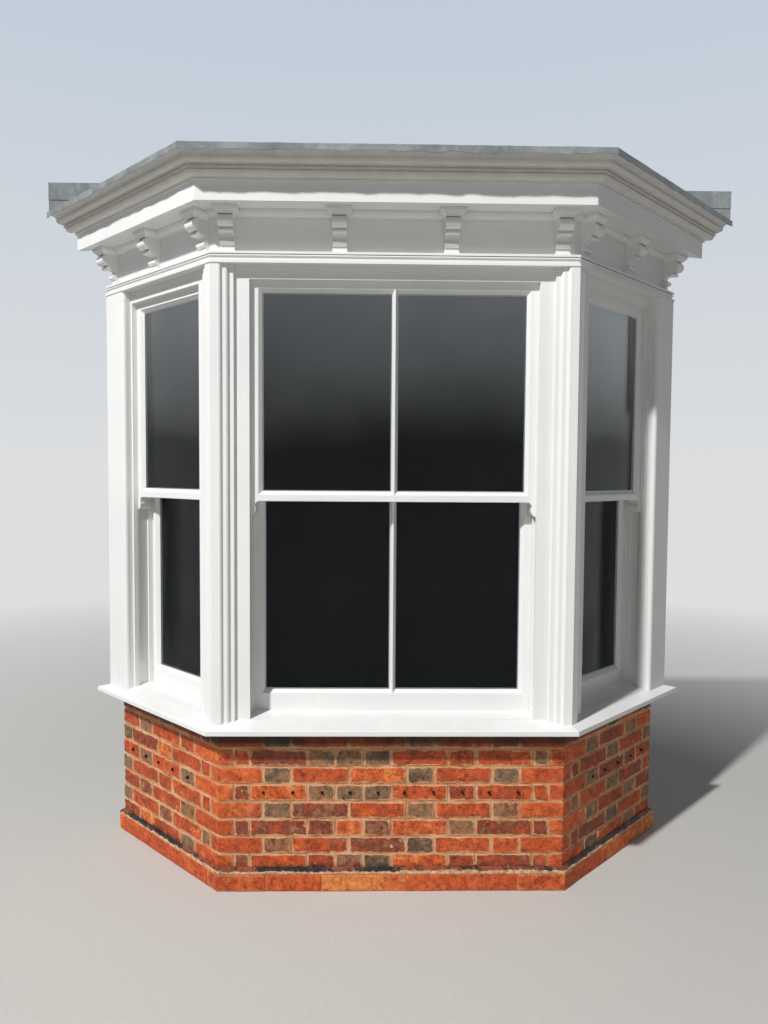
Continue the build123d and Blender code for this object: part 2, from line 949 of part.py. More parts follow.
def lead_roof():
    """Sheet over the deck with its upstand against the house wall."""
    sheet = all_round(lead_profile())
    slab = wall_strip(0, lead_thickness, deck_top(crown_projection), upstand_top)
    below = all_round(outline([
        (crown_projection + lead_edge_gap, crown_top - lead_drip),
        (crown_projection + lead_edge_gap, deck_top(crown_projection + lead_edge_gap)),
        (room_side, deck_top(room_side)),
        (room_side, crown_top - lead_drip),
    ]))
    return (sheet + (slab - below)).clean()


def wall_strip(near, far, low, high):
    """Upright strip in front of the house wall, from one distance off it to another."""
    half = ring_end(lead_projection) - flashing_end_gap
    corners = [(-half, wall_y - far), (half, wall_y - far), (half, wall_y - near), (-half, wall_y - near)]
    return prism(corners, low, high)


def wall_flashing():
    """Cover flashing lapped over the upstand, its top turned back to the wall."""
    outer = lead_thickness + flashing_thickness
    face = wall_strip(lead_thickness, outer, upstand_top - flashing_lap, upstand_top + flashing_thickness)
    turn = wall_strip(0, lead_thickness, upstand_top, upstand_top + flashing_thickness)
    return (face + turn).clean()


def roof_deck():
    return all_round(deck_profile())


def roof_joists():
    inner = fascia_projection - crown_seat - joist_end_gap
    right_corner, left_corner = ring_corners(inner)
    end = ring_end(inner)
    plan = prism([left_corner, right_corner, (end, wall_y), (-end, wall_y)], joist_bottom, crown_top)
    each_side = int((end - 2 * joist_width) // joist_pitch)
    rows = []
    for i in range(-each_side, each_side + 1):
        low = i * joist_pitch - joist_width / 2
        high = low + joist_width
        strip = prism([(low, far_y), (high, far_y), (high, wall_y), (low, wall_y)], joist_bottom, crown_top)
        rows += (strip & plan).solids()
    return Compound(children=rows)


# Inside: the ceiling of the bay and the window board
def bay_ceiling():
    right_corner, left_corner = ring_corners(frieze_back)
    end = house_opening_half
    turn = front_y - frieze_back + (end - right_corner[0]) * slope_sin / slope_cos
    plan = [left_corner, right_corner, (end, turn), (end, back_y), (-end, back_y), (-end, turn)]
    return prism(plan, post_top_height, post_top_height + ceiling_thickness)


def window_board():
    outer = frame_back
    inner = -brick_length - window_board_nosing
    low = frame_sill_bed
    return prism(ring_outline_inside(outer, inner), low, low + window_board_thickness)


def ring_outline_inside(outer, inner):
    outer_right, outer_left = ring_corners(outer)
    inner_right, inner_left = ring_corners(inner)
    outer_end = min(ring_end(outer, back_y), house_opening_half)
    inner_end = ring_end(inner, back_y)
    return [
        outer_left,
        outer_right,
        (outer_end, back_y),
        (inner_end, back_y),
        inner_right,
        inner_left,
        (-inner_end, back_y),
        (-outer_end, back_y),
    ]


os.makedirs("parts", exist_ok=True)

write(base_course(), "base_course")
write(damp_proof_course(), "damp_proof_course")
write(brick_dwarf_wall(), "brick_dwarf_wall")

sills = {name: run_round(name, sill_profile()) for name in facets}
all_sills = sills["front"] + sills["left"]
for name in facets:
    write(sills[name], "sill_" + name)

corner = corner_post_left(all_sills)
write(corner, "corner_post_left")
write(mirror_across(corner), "corner_post_right")
end_post = wall_post_left(sills["left"])
write(end_post, "wall_post_left")
write(mirror_across(end_post), "wall_post_right")

extra = 2 * box_width_outward + post_projection
boxes = {
    "front": sash_box("front", front_opening_half, extra, extra),
    "left": sash_box("left", side_opening_half, extra, box_width_outward),
    "right": sash_box("right", side_opening_half, box_width_outward, extra),
}
halves = {"front": front_opening_half, "left": side_opening_half, "right": side_opening_half}
for name, half in halves.items():
    write(boxes[name], "sash_box_" + name)
    write(upper_sash(name, half), "upper_sash_" + name)
    write(lower_sash(name, half), "lower_sash_" + name)
    write(glass(name, half), "glass_" + name)
    write(frieze(name, half), "frieze_" + name)
    mould = run_round(name, head_mould_profile())
    write(mould, "head_mould_" + name)
    bed = run_round(name, bed_mould_profile())
    row = brackets(name, mould)
    write(row, "brackets_" + name)
    for solid in row.solids():
        bed -= solid
    write(bed, "bed_mould_" + name)
    write(run_round(name, fascia_profile()), "fascia_" + name)
    write(run_round(name, crown_profile()), "crown_mould_" + name)

write(all_round(soffit_profile()), "soffit")
write(roof_joists(), "roof_joists")
write(roof_deck(), "roof_deck")
write(lead_roof(), "lead_roof")
write(wall_flashing(), "wall_flashing")
write(bay_ceiling(), "bay_ceiling")
write(window_board(), "window_board")
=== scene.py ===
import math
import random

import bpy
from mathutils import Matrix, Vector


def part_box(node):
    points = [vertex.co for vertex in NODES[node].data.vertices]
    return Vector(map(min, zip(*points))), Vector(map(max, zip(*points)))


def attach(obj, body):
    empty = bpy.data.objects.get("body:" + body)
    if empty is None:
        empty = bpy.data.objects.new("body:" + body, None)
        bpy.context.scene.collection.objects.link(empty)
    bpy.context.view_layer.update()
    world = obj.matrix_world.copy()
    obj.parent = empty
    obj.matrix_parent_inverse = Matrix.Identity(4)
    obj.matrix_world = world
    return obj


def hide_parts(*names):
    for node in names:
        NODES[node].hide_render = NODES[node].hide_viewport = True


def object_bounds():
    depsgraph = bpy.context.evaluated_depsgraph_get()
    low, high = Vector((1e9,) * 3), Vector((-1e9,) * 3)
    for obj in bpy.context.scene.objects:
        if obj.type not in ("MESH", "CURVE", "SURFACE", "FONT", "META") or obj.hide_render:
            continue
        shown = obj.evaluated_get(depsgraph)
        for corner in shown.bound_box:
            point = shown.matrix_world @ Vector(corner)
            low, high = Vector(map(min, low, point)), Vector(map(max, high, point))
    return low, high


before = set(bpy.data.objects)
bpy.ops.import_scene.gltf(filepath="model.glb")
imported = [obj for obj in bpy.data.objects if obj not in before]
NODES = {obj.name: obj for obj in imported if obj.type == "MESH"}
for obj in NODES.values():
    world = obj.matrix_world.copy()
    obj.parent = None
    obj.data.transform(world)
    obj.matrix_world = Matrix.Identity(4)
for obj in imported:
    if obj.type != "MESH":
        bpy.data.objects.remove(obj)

# %% [markdown]
# # A splayed timber bay window on a brick dwarf wall
# Three pairs of sliding sashes stand on a weathered sill, between moulded posts, under a
# bracketed cornice with a low lead roof. The joinery comes from the CAD model, keeps its shape
# and gets its finish here. What CAD leaves out is modelled in this lesson: single bricks with
# their mortar, a ragged band of tar, lead dressed by hand and sealed glass units. Everything
# is in metres, and the front faces -Y.

for name in ("Cube", "Light", "Camera"):
    if name in bpy.data.objects and name not in NODES:
        bpy.data.objects.remove(bpy.data.objects[name], do_unlink=True)
CAD_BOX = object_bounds()
print("CAD box", [round(v, 4) for corner in CAD_BOX for v in corner])

# %% [markdown]
# ## The plan
# The bay has three straight sides, called facets here: left, front and right. Bricks, tar and
# glass all follow them, so a place is given by its run along the brick face, its offset out
# from that face and its height. The facets could be typed in as numbers. They are worked out
# from the CAD boxes instead, so that the lesson follows the model if a size changes there.

# %% Main lines of the plan
MITRE = math.radians(22.5)
TURN = math.tan(MITRE)
SILL_REACH = 0.086
WALL_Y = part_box("crown_mould_left")[1].y
FRONT_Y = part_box("brick_dwarf_wall")[0].y
DEPTH = WALL_Y - FRONT_Y
FRONT_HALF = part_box("sill_front")[1].x - SILL_REACH * TURN
SIDE_RUN = DEPTH * math.sqrt(2)
LENGTHS = {"left": SIDE_RUN, "front": 2 * FRONT_HALF, "right": SIDE_RUN}
print("front half width", round(FRONT_HALF, 4), "side run", round(SIDE_RUN, 4))

# %% [markdown]
# A facet turns run, offset and height into a place and back. Its matrix has X along the run,
# Y into the wall and Z upwards, so a piece can be modelled flat against the X axis, as the
# front wall would be, and then be carried to any side.

# %% The three facets


class Facet:
    """One side of the bay: where it starts, and which way it runs, left to right from outside."""

    def __init__(self, start, along):
        self.start = Vector((start[0], start[1], 0))
        self.along = Vector((along[0], along[1], 0)).normalized()
        self.out = Vector((self.along.y, -self.along.x, 0))
        self.matrix = Matrix((
            (self.along.x, -self.out.x, 0, self.start.x),
            (self.along.y, -self.out.y, 0, self.start.y),
            (0, 0, 1, 0),
            (0, 0, 0, 1),
        ))

    def local(self, point):
        """Run, offset and height of a point."""
        flat = Vector((point[0], point[1], 0)) - self.start
        return flat.dot(self.along), flat.dot(self.out), point[2]


FACETS = {
    "left": Facet((-FRONT_HALF - DEPTH, WALL_Y), (1, -1)),
    "front": Facet((-FRONT_HALF, FRONT_Y), (1, 0)),
    "right": Facet((FRONT_HALF, FRONT_Y), (1, 1)),
}


def past_corner(sign):
    """Level direction from the front facet past its corner, square to the mitre plane."""
    return Vector((sign * math.cos(MITRE), math.sin(MITRE), 0))


print("facets start at", {side: [round(v, 3) for v in facet.start[:2]] for side, facet in FACETS.items()})

# %% [markdown]
# ## Camera
# The photograph was taken from chest height, a little left of the middle and close in, with a
# wide lens. The place could be found by trial. Here it comes from fitting the bay's corners to
# the photograph, so the perspective agrees in every corner of the picture.

# %% Camera at the photograph's place
LENS_MM = 27.12
SENSOR_MM = 36.0
EYE_ACROSS, EYE_FROM_WALL, EYE_HEIGHT = -0.0941, 3.6642, 1.7103
YAW, PITCH, ROLL = math.radians(1.012), math.radians(2.805), math.radians(0.382)
camera_data = bpy.data.cameras.new("photo_camera")
camera_data.sensor_width = SENSOR_MM
camera_data.lens = LENS_MM
camera = bpy.data.objects.new("photo_camera", camera_data)
bpy.context.scene.collection.objects.link(camera)
heading = Matrix.Rotation(-YAW, 4, "Z")
tilt = Matrix.Rotation(math.pi / 2 - PITCH, 4, "X")
aim = heading @ tilt @ Matrix.Rotation(ROLL, 4, "Z")
camera.matrix_world = Matrix.Translation((EYE_ACROSS, WALL_Y - EYE_FROM_WALL, EYE_HEIGHT)) @ aim
bpy.context.scene.camera = camera
print("camera at", [round(v, 3) for v in camera.matrix_world.translation])

# %% [markdown]
# ## Light
# Daylight comes from high on the left, so the left side is brightest, the right side is in
# shade and the cornice throws a shadow over its brackets. A sun lamp could do this. A round
# lamp far off is used, because its width sets how soft the shadow's edge is. A weak wide lamp
# in front opens the shadows. Neither shows in glass or gloss.

# %% Lamps


def soft_lamp(name, place, target, size, power):
    """A round lamp at a place, aimed at a target."""
    data = bpy.data.lights.new(name, "AREA")
    data.shape = "DISK"
    data.size = size
    data.energy = power
    lamp = bpy.data.objects.new(name, data)
    bpy.context.scene.collection.objects.link(lamp)
    lamp.visible_glossy = False
    lamp.visible_transmission = False
    lamp.location = place
    lamp.rotation_euler = (Vector(target) - Vector(place)).to_track_quat("-Z", "Y").to_euler()
    print(name, "at", place, power, "W")


soft_lamp("high_left_lamp", place=(-7.10, -8.90, 13.25), target=(0, -0.3, 1.8), size=0.7, power=3200)
soft_lamp("front_fill_lamp", place=(0.6, -6.5, 2.6), target=(0, 0, 1.4), size=3.0, power=20)

# %% [markdown]
# The world has two faces. One weak bluish fill lights the bay. The other is a pale gradient
# that only the camera, gloss and glass see, so the panes have something bright to mirror and
# the background stays pale without putting more light on the paint.

# %% World
world = bpy.data.worlds.new("studio")
bpy.context.scene.world = world
world.use_nodes = True
sky = world.node_tree
sky.nodes.clear()


def sky_node(kind, **values):
    """Add a node to the world and set its inputs."""
    node = sky.nodes.new("ShaderNode" + kind)
    for key, value in values.items():
        node.inputs[key].default_value = value
    return node


def larger(first, second):
    """The larger of two sockets."""
    node = sky_node("Math")
    node.operation = "MAXIMUM"
    sky.links.new(first, node.inputs[0])
    sky.links.new(second, node.inputs[1])
    return node.outputs[0]


fill = sky_node("Background", Color=(0.93, 0.97, 1.0, 1), Strength=0.125)
seen = sky_node("Background", Strength=1.0)
height = sky_node("SeparateXYZ")
sky.links.new(sky_node("TexCoord").outputs["Generated"], height.inputs[0])
fade = sky_node("ValToRGB")
for point, position, colour in zip(fade.color_ramp.elements, (0.0, 0.55),
                                   ((0.72, 0.73, 0.74, 1), (0.52, 0.60, 0.70, 1))):
    point.position = position
    point.color = colour
sky.links.new(height.outputs["Z"], fade.inputs["Fac"])
sky.links.new(fade.outputs["Color"], seen.inputs["Color"])
rays = sky_node("LightPath").outputs
shown = larger(larger(rays["Is Camera Ray"], rays["Is Glossy Ray"]), rays["Is Transmission Ray"])
choose = sky_node("MixShader")
sky.links.new(shown, choose.inputs["Fac"])
sky.links.new(fill.outputs[0], choose.inputs[1])
sky.links.new(seen.outputs[0], choose.inputs[2])
sky.links.new(choose.outputs[0], sky_node("OutputWorld").inputs["Surface"])
print("world nodes", len(sky.nodes))

# %% [markdown]
# ## Helpers for materials
# Images could carry the finishes, but they blur close up and stop at their edges. Every finish
# here is built from noise on object coordinates. The helpers add a node, set its values and
# link it, so that each material below reads as a short recipe.

# %% Material helpers


class Finish:
    """A material and the nodes that make it."""

    def __init__(self, name):
        self.material = bpy.data.materials.new(name)
        self.material.use_nodes = True
        self.tree = self.material.node_tree
        self.tree.nodes.clear()
        self.end = self.tree.nodes.new("ShaderNodeOutputMaterial")
        self.shader = self.tree.nodes.new("ShaderNodeBsdfPrincipled")
        self.tree.links.new(self.shader.outputs[0], self.end.inputs["Surface"])
        self.place = self.tree.nodes.new("ShaderNodeTexCoord").outputs["Object"]

    def add(self, kind, settings=None, **inputs):
        """A node with its settings, and with values or links for its inputs."""
        node = self.tree.nodes.new("ShaderNode" + kind)
        for key, value in (settings or {}).items():
            setattr(node, key, value)
        for key, value in inputs.items():
            self.give(node.inputs[key], value)
        return node

    def give(self, socket, value):
        """Link a socket to another one, or set its value."""
        if isinstance(value, bpy.types.NodeSocket):
            self.tree.links.new(value, socket)
        else:
            socket.default_value = value

    def map(self, scale=(1, 1, 1), turn=0.0):
        """Object coordinates, turned about the vertical and stretched."""
        turned = self.add("Mapping", Vector=self.place, Rotation=(0, 0, turn))
        return self.add("Mapping", Vector=turned.outputs[0], Scale=scale).outputs[0]

    def upward(self, vector=None):
        """The height of a place, or how far another vector points up."""
        return self.add("SeparateXYZ", Vector=vector or self.place).outputs["Z"]

    def remembered(self, key):
        """A value that the mesh carries at each point."""
        return self.add("Attribute", {"attribute_name": key}).outputs["Fac"]

    def noise(self, scale, detail=4.0, where=None, rough=0.55):
        """Cloudy noise from 0 to 1, with so many patches in a metre."""
        node = self.add("TexNoise", Vector=where or self.place, Scale=scale, Detail=detail, Roughness=rough)
        return node.outputs["Fac"]

    def ramp(self, value, *stops):
        """A colour ramp: pairs of position and colour."""
        node = self.add("ValToRGB", Fac=value)
        points = node.color_ramp.elements
        while len(points) < len(stops):
            points.new(0.5)
        for point, (position, colour) in zip(points, stops):
            point.position = position
            point.color = (*colour, 1)
        return node.outputs["Color"]

    def level(self, value, low, high, out_low=0.0, out_high=1.0):
        """A value spread from one range to another, and held at its ends."""
        node = self.add("MapRange", Value=value)
        for key, number in (("From Min", low), ("From Max", high), ("To Min", out_low), ("To Max", out_high)):
            node.inputs[key].default_value = number
        return node.outputs[0]

    def maths(self, operation, first, second=0.0):
        """One sum on two values."""
        node = self.add("Math", {"operation": operation})
        self.give(node.inputs[0], first)
        self.give(node.inputs[1], second)
        return node.outputs[0]

    def times(self, first, second):
        return self.maths("MULTIPLY", first, second)

    def plus(self, first, second):
        return self.maths("ADD", first, second)

    def blend(self, share, first, second, mode="MIX"):
        """One colour over another, by a share."""
        node = self.add("Mix", {"data_type": "RGBA", "blend_type": mode})
        self.give(node.inputs[0], share)
        self.give(node.inputs[6], first if not isinstance(first, tuple) else (*first, 1))
        self.give(node.inputs[7], second if not isinstance(second, tuple) else (*second, 1))
        return node.outputs[2]

    def bump(self, height, distance, strength=1.0, normal=None):
        """Small relief from a height, up to a distance."""
        node = self.add("Bump", Height=height, Distance=distance, Strength=strength)
        if normal is not None:
            self.give(node.inputs["Normal"], normal)
        return node.outputs[0]

    def finish(self, **inputs):
        """Link or set the shader's sockets, named with underscores for spaces."""
        for key, value in inputs.items():
            self.give(self.shader.inputs[key.replace("_", " ")], value)
        return self.material


print("helpers:", [name for name in vars(Finish) if not name.startswith("_")])

# %% [markdown]
# ## Painted timber
# The joinery is softwood under white satin paint. Up close the brush leaves fine lines along
# each board, the arrises are rubbed slightly round and dust settles on level faces. Painted
# shade darkens the quirks, broken into specks like grime, and painted shade darkens and warms
# the high cornice, speckled like weathered paint. One paint for all would send its brush lines
# across some boards. They must follow the boards, so there is one version for uprights and one
# for the rails of each facet.

# %% Paint
CORNICE_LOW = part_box("crown_mould_front")[0].z
ALONG = 0.035
QUIRK_REACH = 0.008
RUBBED_RADIUS = 0.0014
BRUSH_DEPTH = 0.00035


def white_paint(name, stretch, turn=0.0):
    paint = Finish(name)
    lines = paint.noise(95.0, 5.0, paint.map(stretch, turn))
    waves = paint.noise(9.0, 3.0, paint.map(stretch, turn))
    tone = paint.noise(2.2, 3.0)
    white = paint.ramp(tone, (0.35, (0.80, 0.805, 0.79)), (0.65, (0.845, 0.845, 0.825)))
    white = paint.blend(paint.level(lines, 0.35, 0.75, 0.0, 0.25), white, (0.76, 0.765, 0.75))
    # Painted shade: ambient occlusion darkens quirks and recesses, broken into specks of grime.
    nook = paint.add("AmbientOcclusion", {"samples": 8}, Distance=QUIRK_REACH).outputs["AO"]
    speck = paint.noise(21.0, 3.0)
    quirk_shade_and_grime = paint.times(paint.level(nook, 0.15, 0.75, 0.6, 0.0), paint.level(speck, 0.3, 0.75, 0.3, 1.0))
    white = paint.blend(quirk_shade_and_grime, white, (0.47, 0.45, 0.40))
    facing = paint.upward(paint.add("NewGeometry").outputs["Normal"])
    dust = paint.times(paint.level(facing, 0.6, 0.95, 0.0, 0.16),
                       paint.level(paint.noise(14.0, 6.0), 0.42, 0.6))
    white = paint.blend(dust, white, (0.66, 0.64, 0.59))
    # Painted shade: paint from the foot of the crown mould upwards is darkened and warmed, speckled like
    # weathered paint.
    cornice_shade_and_weathering = paint.level(paint.upward(), CORNICE_LOW, CORNICE_LOW + 0.012, 0.0, 1.0)
    cornice_shade_and_weathering = paint.times(cornice_shade_and_weathering, paint.level(speck, 0.3, 0.7, 0.35, 0.6))
    white = paint.blend(cornice_shade_and_weathering, white, (0.58, 0.52, 0.44))
    worn = paint.add("Bevel", {"samples": 4}, Radius=RUBBED_RADIUS).outputs[0]
    relief = paint.plus(lines, paint.times(waves, 0.8))
    return paint.finish(Base_Color=white, Roughness=paint.level(lines, 0.3, 0.7, 0.30, 0.46),
                        Normal=paint.bump(relief, BRUSH_DEPTH, 0.5, worn),
                        Coat_Weight=0.12, Coat_Roughness=0.18)


PAINT = {
    "upright": white_paint("satin_paint_upright", (1, 1, ALONG)),
    "front": white_paint("satin_paint_front", (ALONG, 1, 1)),
    "left": white_paint("satin_paint_left", (ALONG, 1, 1), math.radians(45)),
    "right": white_paint("satin_paint_right", (ALONG, 1, 1), math.radians(-45)),
}
print("paints", sorted(PAINT))

# %% [markdown]
# A CAD node keeps its mesh and its slots. Only the material in them changes. Rails, mouldings
# and boards take the paint of their own facet. Posts, frames and sashes take the upright one,
# since most of what shows of them runs upwards.

# %% Paint the joinery


def finish_node(name, material):
    """Give a CAD node a material in all its slots."""
    mesh = NODES[name].data
    if not mesh.materials:
        mesh.materials.append(material)
    for index in range(len(mesh.materials)):
        mesh.materials[index] = material


LEVEL_PARTS = ("sill_", "frieze_", "head_mould_", "brackets_", "bed_mould_", "fascia_", "crown_mould_")
UPRIGHT_PARTS = ("sash_box_", "upper_sash_", "lower_sash_")
for side in FACETS:
    for part in LEVEL_PARTS:
        finish_node(part + side, PAINT[side])
    for part in UPRIGHT_PARTS:
        finish_node(part + side, PAINT["upright"])
for name in ("corner_post_left", "corner_post_right", "wall_post_left", "wall_post_right"):
    finish_node(name, PAINT["upright"])
finish_node("soffit", PAINT["front"])
finish_node("window_board", PAINT["front"])
print("painted nodes", 3 * len(LEVEL_PARTS + UPRIGHT_PARTS) + 6)

# %% [markdown]
# ## Bare softwood and plaster
# The joists and the deck over them are sawn, unpainted timber, seen only from the room side.
# Growth rings show as long wavy lines, which a wave texture stretched along the board gives
# more simply than modelled grain. The bay's ceiling is plain plasterboard with a skim coat.

# %% Softwood and plaster


def softwood(name, turn):
    wood = Finish(name)
    waves = wood.add("TexWave", {"wave_type": "BANDS", "bands_direction": "Y"},
                     Vector=wood.map((0.12, 1, 1), turn), Scale=42.0, Distortion=5.0, Detail=3.0)
    rings = waves.outputs["Fac"]
    fibres = wood.noise(260.0, 4.0, wood.map((0.03, 1, 1), turn))
    colour = wood.ramp(rings, (0.1, (0.55, 0.36, 0.19)), (0.6, (0.66, 0.47, 0.27)),
                       (0.95, (0.42, 0.24, 0.11)))
    colour = wood.blend(wood.level(fibres, 0.4, 0.7, 0, 0.4), colour, (0.40, 0.26, 0.14))
    return wood.finish(Base_Color=colour, Roughness=wood.level(fibres, 0.3, 0.7, 0.6, 0.8),
                       Normal=wood.bump(wood.plus(rings, fibres), 0.0006, 0.6))


def plasterboard():
    skim = Finish("skim_plaster")
    trowel = skim.noise(7.0, 5.0, skim.map((1, 3, 1)))
    grain = skim.noise(180.0, 3.0)
    colour = skim.ramp(trowel, (0.3, (0.70, 0.69, 0.66)), (0.7, (0.78, 0.77, 0.74)))
    return skim.finish(Base_Color=colour, Roughness=skim.level(grain, 0.3, 0.7, 0.75, 0.9),
                       Normal=skim.bump(skim.plus(trowel, grain), 0.0006, 0.5))


finish_node("roof_joists", softwood("sawn_joists", math.radians(90)))
finish_node("roof_deck", softwood("sawn_boards", 0.0))
finish_node("bay_ceiling", plasterboard())
print("bare timber and plaster on 3 nodes")

# %% [markdown]
# ## Sheet lead
# The roof is one sheet of milled lead under a cover flashing. Lead turns from blue-grey to a
# mottled grey, with white and green-grey runs where rain crosses it. The sheet is soft, so its
# surface is never flat. The tones are three noises laid over each other, and shallow dents are
# left to bump. The larger dents at the edge are modelled further on.

# %% Lead


def sheet_lead():
    lead = Finish("weathered_lead")
    clouds = lead.noise(5.5, 6.0, rough=0.62)
    runs = lead.noise(24.0, 6.0, lead.map((1, 0.25, 0.6)), rough=0.68)
    spots = lead.noise(120.0, 4.0)
    colour = lead.ramp(clouds, (0.28, (0.16, 0.175, 0.185)), (0.5, (0.27, 0.29, 0.295)),
                       (0.72, (0.42, 0.44, 0.43)))
    colour = lead.blend(lead.level(runs, 0.5, 0.8, 0, 0.55), colour, (0.60, 0.62, 0.60))
    colour = lead.blend(lead.level(spots, 0.55, 0.7, 0, 0.5), colour, (0.20, 0.24, 0.20))
    dents = lead.noise(16.0, 3.0)
    relief = lead.plus(dents, lead.times(spots, 0.15))
    return lead.finish(Base_Color=colour, Metallic=0.35, Roughness=lead.level(clouds, 0.3, 0.7, 0.42, 0.68),
                       Normal=lead.bump(relief, 0.004, 0.6))


LEAD = sheet_lead()
finish_node("wall_flashing", LEAD)
print("flashing in", LEAD.name)

# %% [markdown]
# ## Helpers for modelling
# Pieces are modelled as by hand: a cube is added, its edges are bevelled, and planes cut it
# into a grid that can be roughened. The operators act on all that is selected, so each helper
# first selects its own piece alone.

# %% Selecting and editing


def deselect():
    """Leave edit mode with nothing selected."""
    if bpy.context.mode != "OBJECT":
        bpy.ops.object.mode_set(mode="OBJECT")
    bpy.ops.object.select_all(action="DESELECT")


def pick(piece):
    """Select one object alone."""
    deselect()
    piece.select_set(True)
    bpy.context.view_layer.objects.active = piece


def start_edit(piece):
    """Edit one object with everything selected."""
    pick(piece)
    bpy.ops.object.mode_set(mode="EDIT")
    bpy.ops.mesh.select_all(action="SELECT")


def end_edit():
    """Back to object mode."""
    bpy.ops.object.mode_set(mode="OBJECT")


def edit_faces(piece, wanted):
    """Edit one object with only the wanted faces selected."""
    start_edit(piece)
    bpy.ops.mesh.select_mode(type="FACE")
    bpy.ops.mesh.select_all(action="DESELECT")
    end_edit()
    for face in piece.data.polygons:
        face.select = wanted(face)
    bpy.ops.object.mode_set(mode="EDIT")


print("editing helpers are ready")

# %% [markdown]
# Cutting, copying and joining come next. A piece could be cut by a boolean, but a bisect with
# one plane is quicker and leaves clean edges.

# %% Cutting and joining


def slice_at(axis, place):
    """Cut the mesh that is being edited with a plane square to an axis."""
    point, normal = [0.0, 0.0, 0.0], [0.0, 0.0, 0.0]
    point[axis] = place
    normal[axis] = 1.0
    bpy.ops.mesh.select_all(action="SELECT")
    bpy.ops.mesh.bisect(plane_co=point, plane_no=normal)


def block(name, low, high, bevel=0.0, segments=2, grid=None):
    """A cube between two corners, with its edges rounded and cut to a grid."""
    deselect()
    bpy.ops.mesh.primitive_cube_add(size=1, location=[(a + b) / 2 for a, b in zip(low, high)])
    piece = bpy.context.active_object
    piece.name = name
    piece.scale = [b - a for a, b in zip(low, high)]
    bpy.ops.object.transform_apply(location=True, rotation=False, scale=True)
    start_edit(piece)
    if bevel:
        bpy.ops.mesh.bevel(offset=bevel, segments=segments, affect="EDGES")
    for axis, spacing in enumerate(grid or ()):
        span = high[axis] - low[axis] - 2 * bevel
        count = max(0, round(span / spacing) - 1)
        for step in range(count):
            slice_at(axis, low[axis] + bevel + span * (step + 1) / (count + 1))
    end_edit()
    return piece


def cut_grid(piece, across, up):
    """Cut a piece with upright and level planes at an even spacing."""
    low = [min(vertex.co[i] for vertex in piece.data.vertices) for i in range(3)]
    high = [max(vertex.co[i] for vertex in piece.data.vertices) for i in range(3)]
    start_edit(piece)
    for axis, spacing in ((0, across), (2, up)):
        for step in range(1, int((high[axis] - low[axis]) / spacing)):
            slice_at(axis, low[axis] + step * spacing)
    end_edit()


def trim(piece, point, normal):
    """Cut away the side of a plane that its normal points to, and close the cut."""
    start_edit(piece)
    bpy.ops.mesh.bisect(plane_co=point, plane_no=normal, use_fill=True, clear_outer=True)
    end_edit()
    return piece


def trim_behind(piece, cut):
    """Trim a piece at an upright plane at the back, if it reaches past it."""
    if max(vertex.co.y for vertex in piece.data.vertices) > cut.y:
        trim(piece, cut, (0, 1, 0))


def copy_of(piece, name):
    """A copy with a mesh of its own."""
    twin = piece.copy()
    twin.data = piece.data.copy()
    twin.name = name
    bpy.context.scene.collection.objects.link(twin)
    return twin


def join(name, pieces):
    """Several objects as one."""
    deselect()
    for piece in pieces:
        piece.select_set(True)
    bpy.context.view_layer.objects.active = pieces[0]
    bpy.ops.object.join()
    joined = bpy.context.active_object
    joined.name = name
    joined.data.name = name
    return joined


print("cutting helpers are ready")

# %% [markdown]
# Nothing on an old wall is flat. Bump alone looks wrong at the outline, so the surfaces are
# pushed in and out by a cloud pattern and the result is kept in the mesh.

# %% Roughening, smoothing and setting a material


def roughen(piece, pattern, strength, size, middle=0.5, contrast=1.0, group="", axis="NORMAL"):
    """Push the surface in and out with a cloud pattern, and keep the result."""
    texture = bpy.data.textures.new(pattern, "CLOUDS")
    texture.noise_scale = size
    texture.noise_depth = 3
    texture.contrast = contrast
    pick(piece)
    push = piece.modifiers.new(pattern, "DISPLACE")
    push.texture = texture
    push.texture_coords = "LOCAL"
    push.strength = strength
    push.mid_level = middle
    push.direction = axis
    push.vertex_group = group
    bpy.ops.object.modifier_apply(modifier=push.name)


def smooth(piece, degrees):
    """Shade smoothly over edges flatter than an angle."""
    pick(piece)
    bpy.ops.object.shade_smooth_by_angle(angle=math.radians(degrees))


def set_material(piece, material):
    """Give a piece one material."""
    piece.data.materials.clear()
    piece.data.materials.append(material)


print("surface helpers are ready")

# %% [markdown]
# ## Bricks
# The dwarf wall is one brick thick in Flemish bond, so each course shows stretchers and
# headers, with squint bricks folded round the corners and narrow closers next to them. The
# bond could be a pattern in a material. Real bricks catch light on their edges and stand proud
# of the mortar, so each one is a mesh of its own.
#
# The bond is read course by course. L is the long leg of a squint brick, K its short leg, C a
# closer, S a stretcher and H a header. A long leg on the front goes with a short leg on the
# side, and the next course has them the other way round.

# %% Brick sizes and the bond
BRICK_HIGH = 0.0655
COURSE = 0.073
JOINT = 0.0085
LEAF = 0.105
WALL = 0.228
SIZES = {"L": 0.176, "K": 0.058, "C": 0.058, "S": 0.2265, "H": 0.1065}
FRONT_BOND = {"long": "LHSSHSHL", "short": "KCSHHHSHSCK"}
SIDE_BOND = {"long": "LHSHSH", "short": "KCSHSH"}
COURSES = 8
BED_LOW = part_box("brick_dwarf_wall")[0].z
draw = random.Random(1881)


def bonds(row):
    """Which bond a course has on the front, and which on the sides."""
    return ("short", "long") if row % 2 == 0 else ("long", "short")


def bed(row):
    """The height of the underside of a course."""
    return BED_LOW + row * COURSE + (COURSE - BRICK_HIGH) / 2


def front_course(kinds):
    """Places of the bricks along the front, with the joints evened out."""
    sizes = [SIZES[kind] for kind in kinds]
    joint = (LENGTHS["front"] - sum(sizes)) / (len(sizes) - 1)
    run = 0.0
    places = []
    for kind, size in zip(kinds, sizes):
        places.append((kind, run + size / 2))
        run += size + joint
    return places


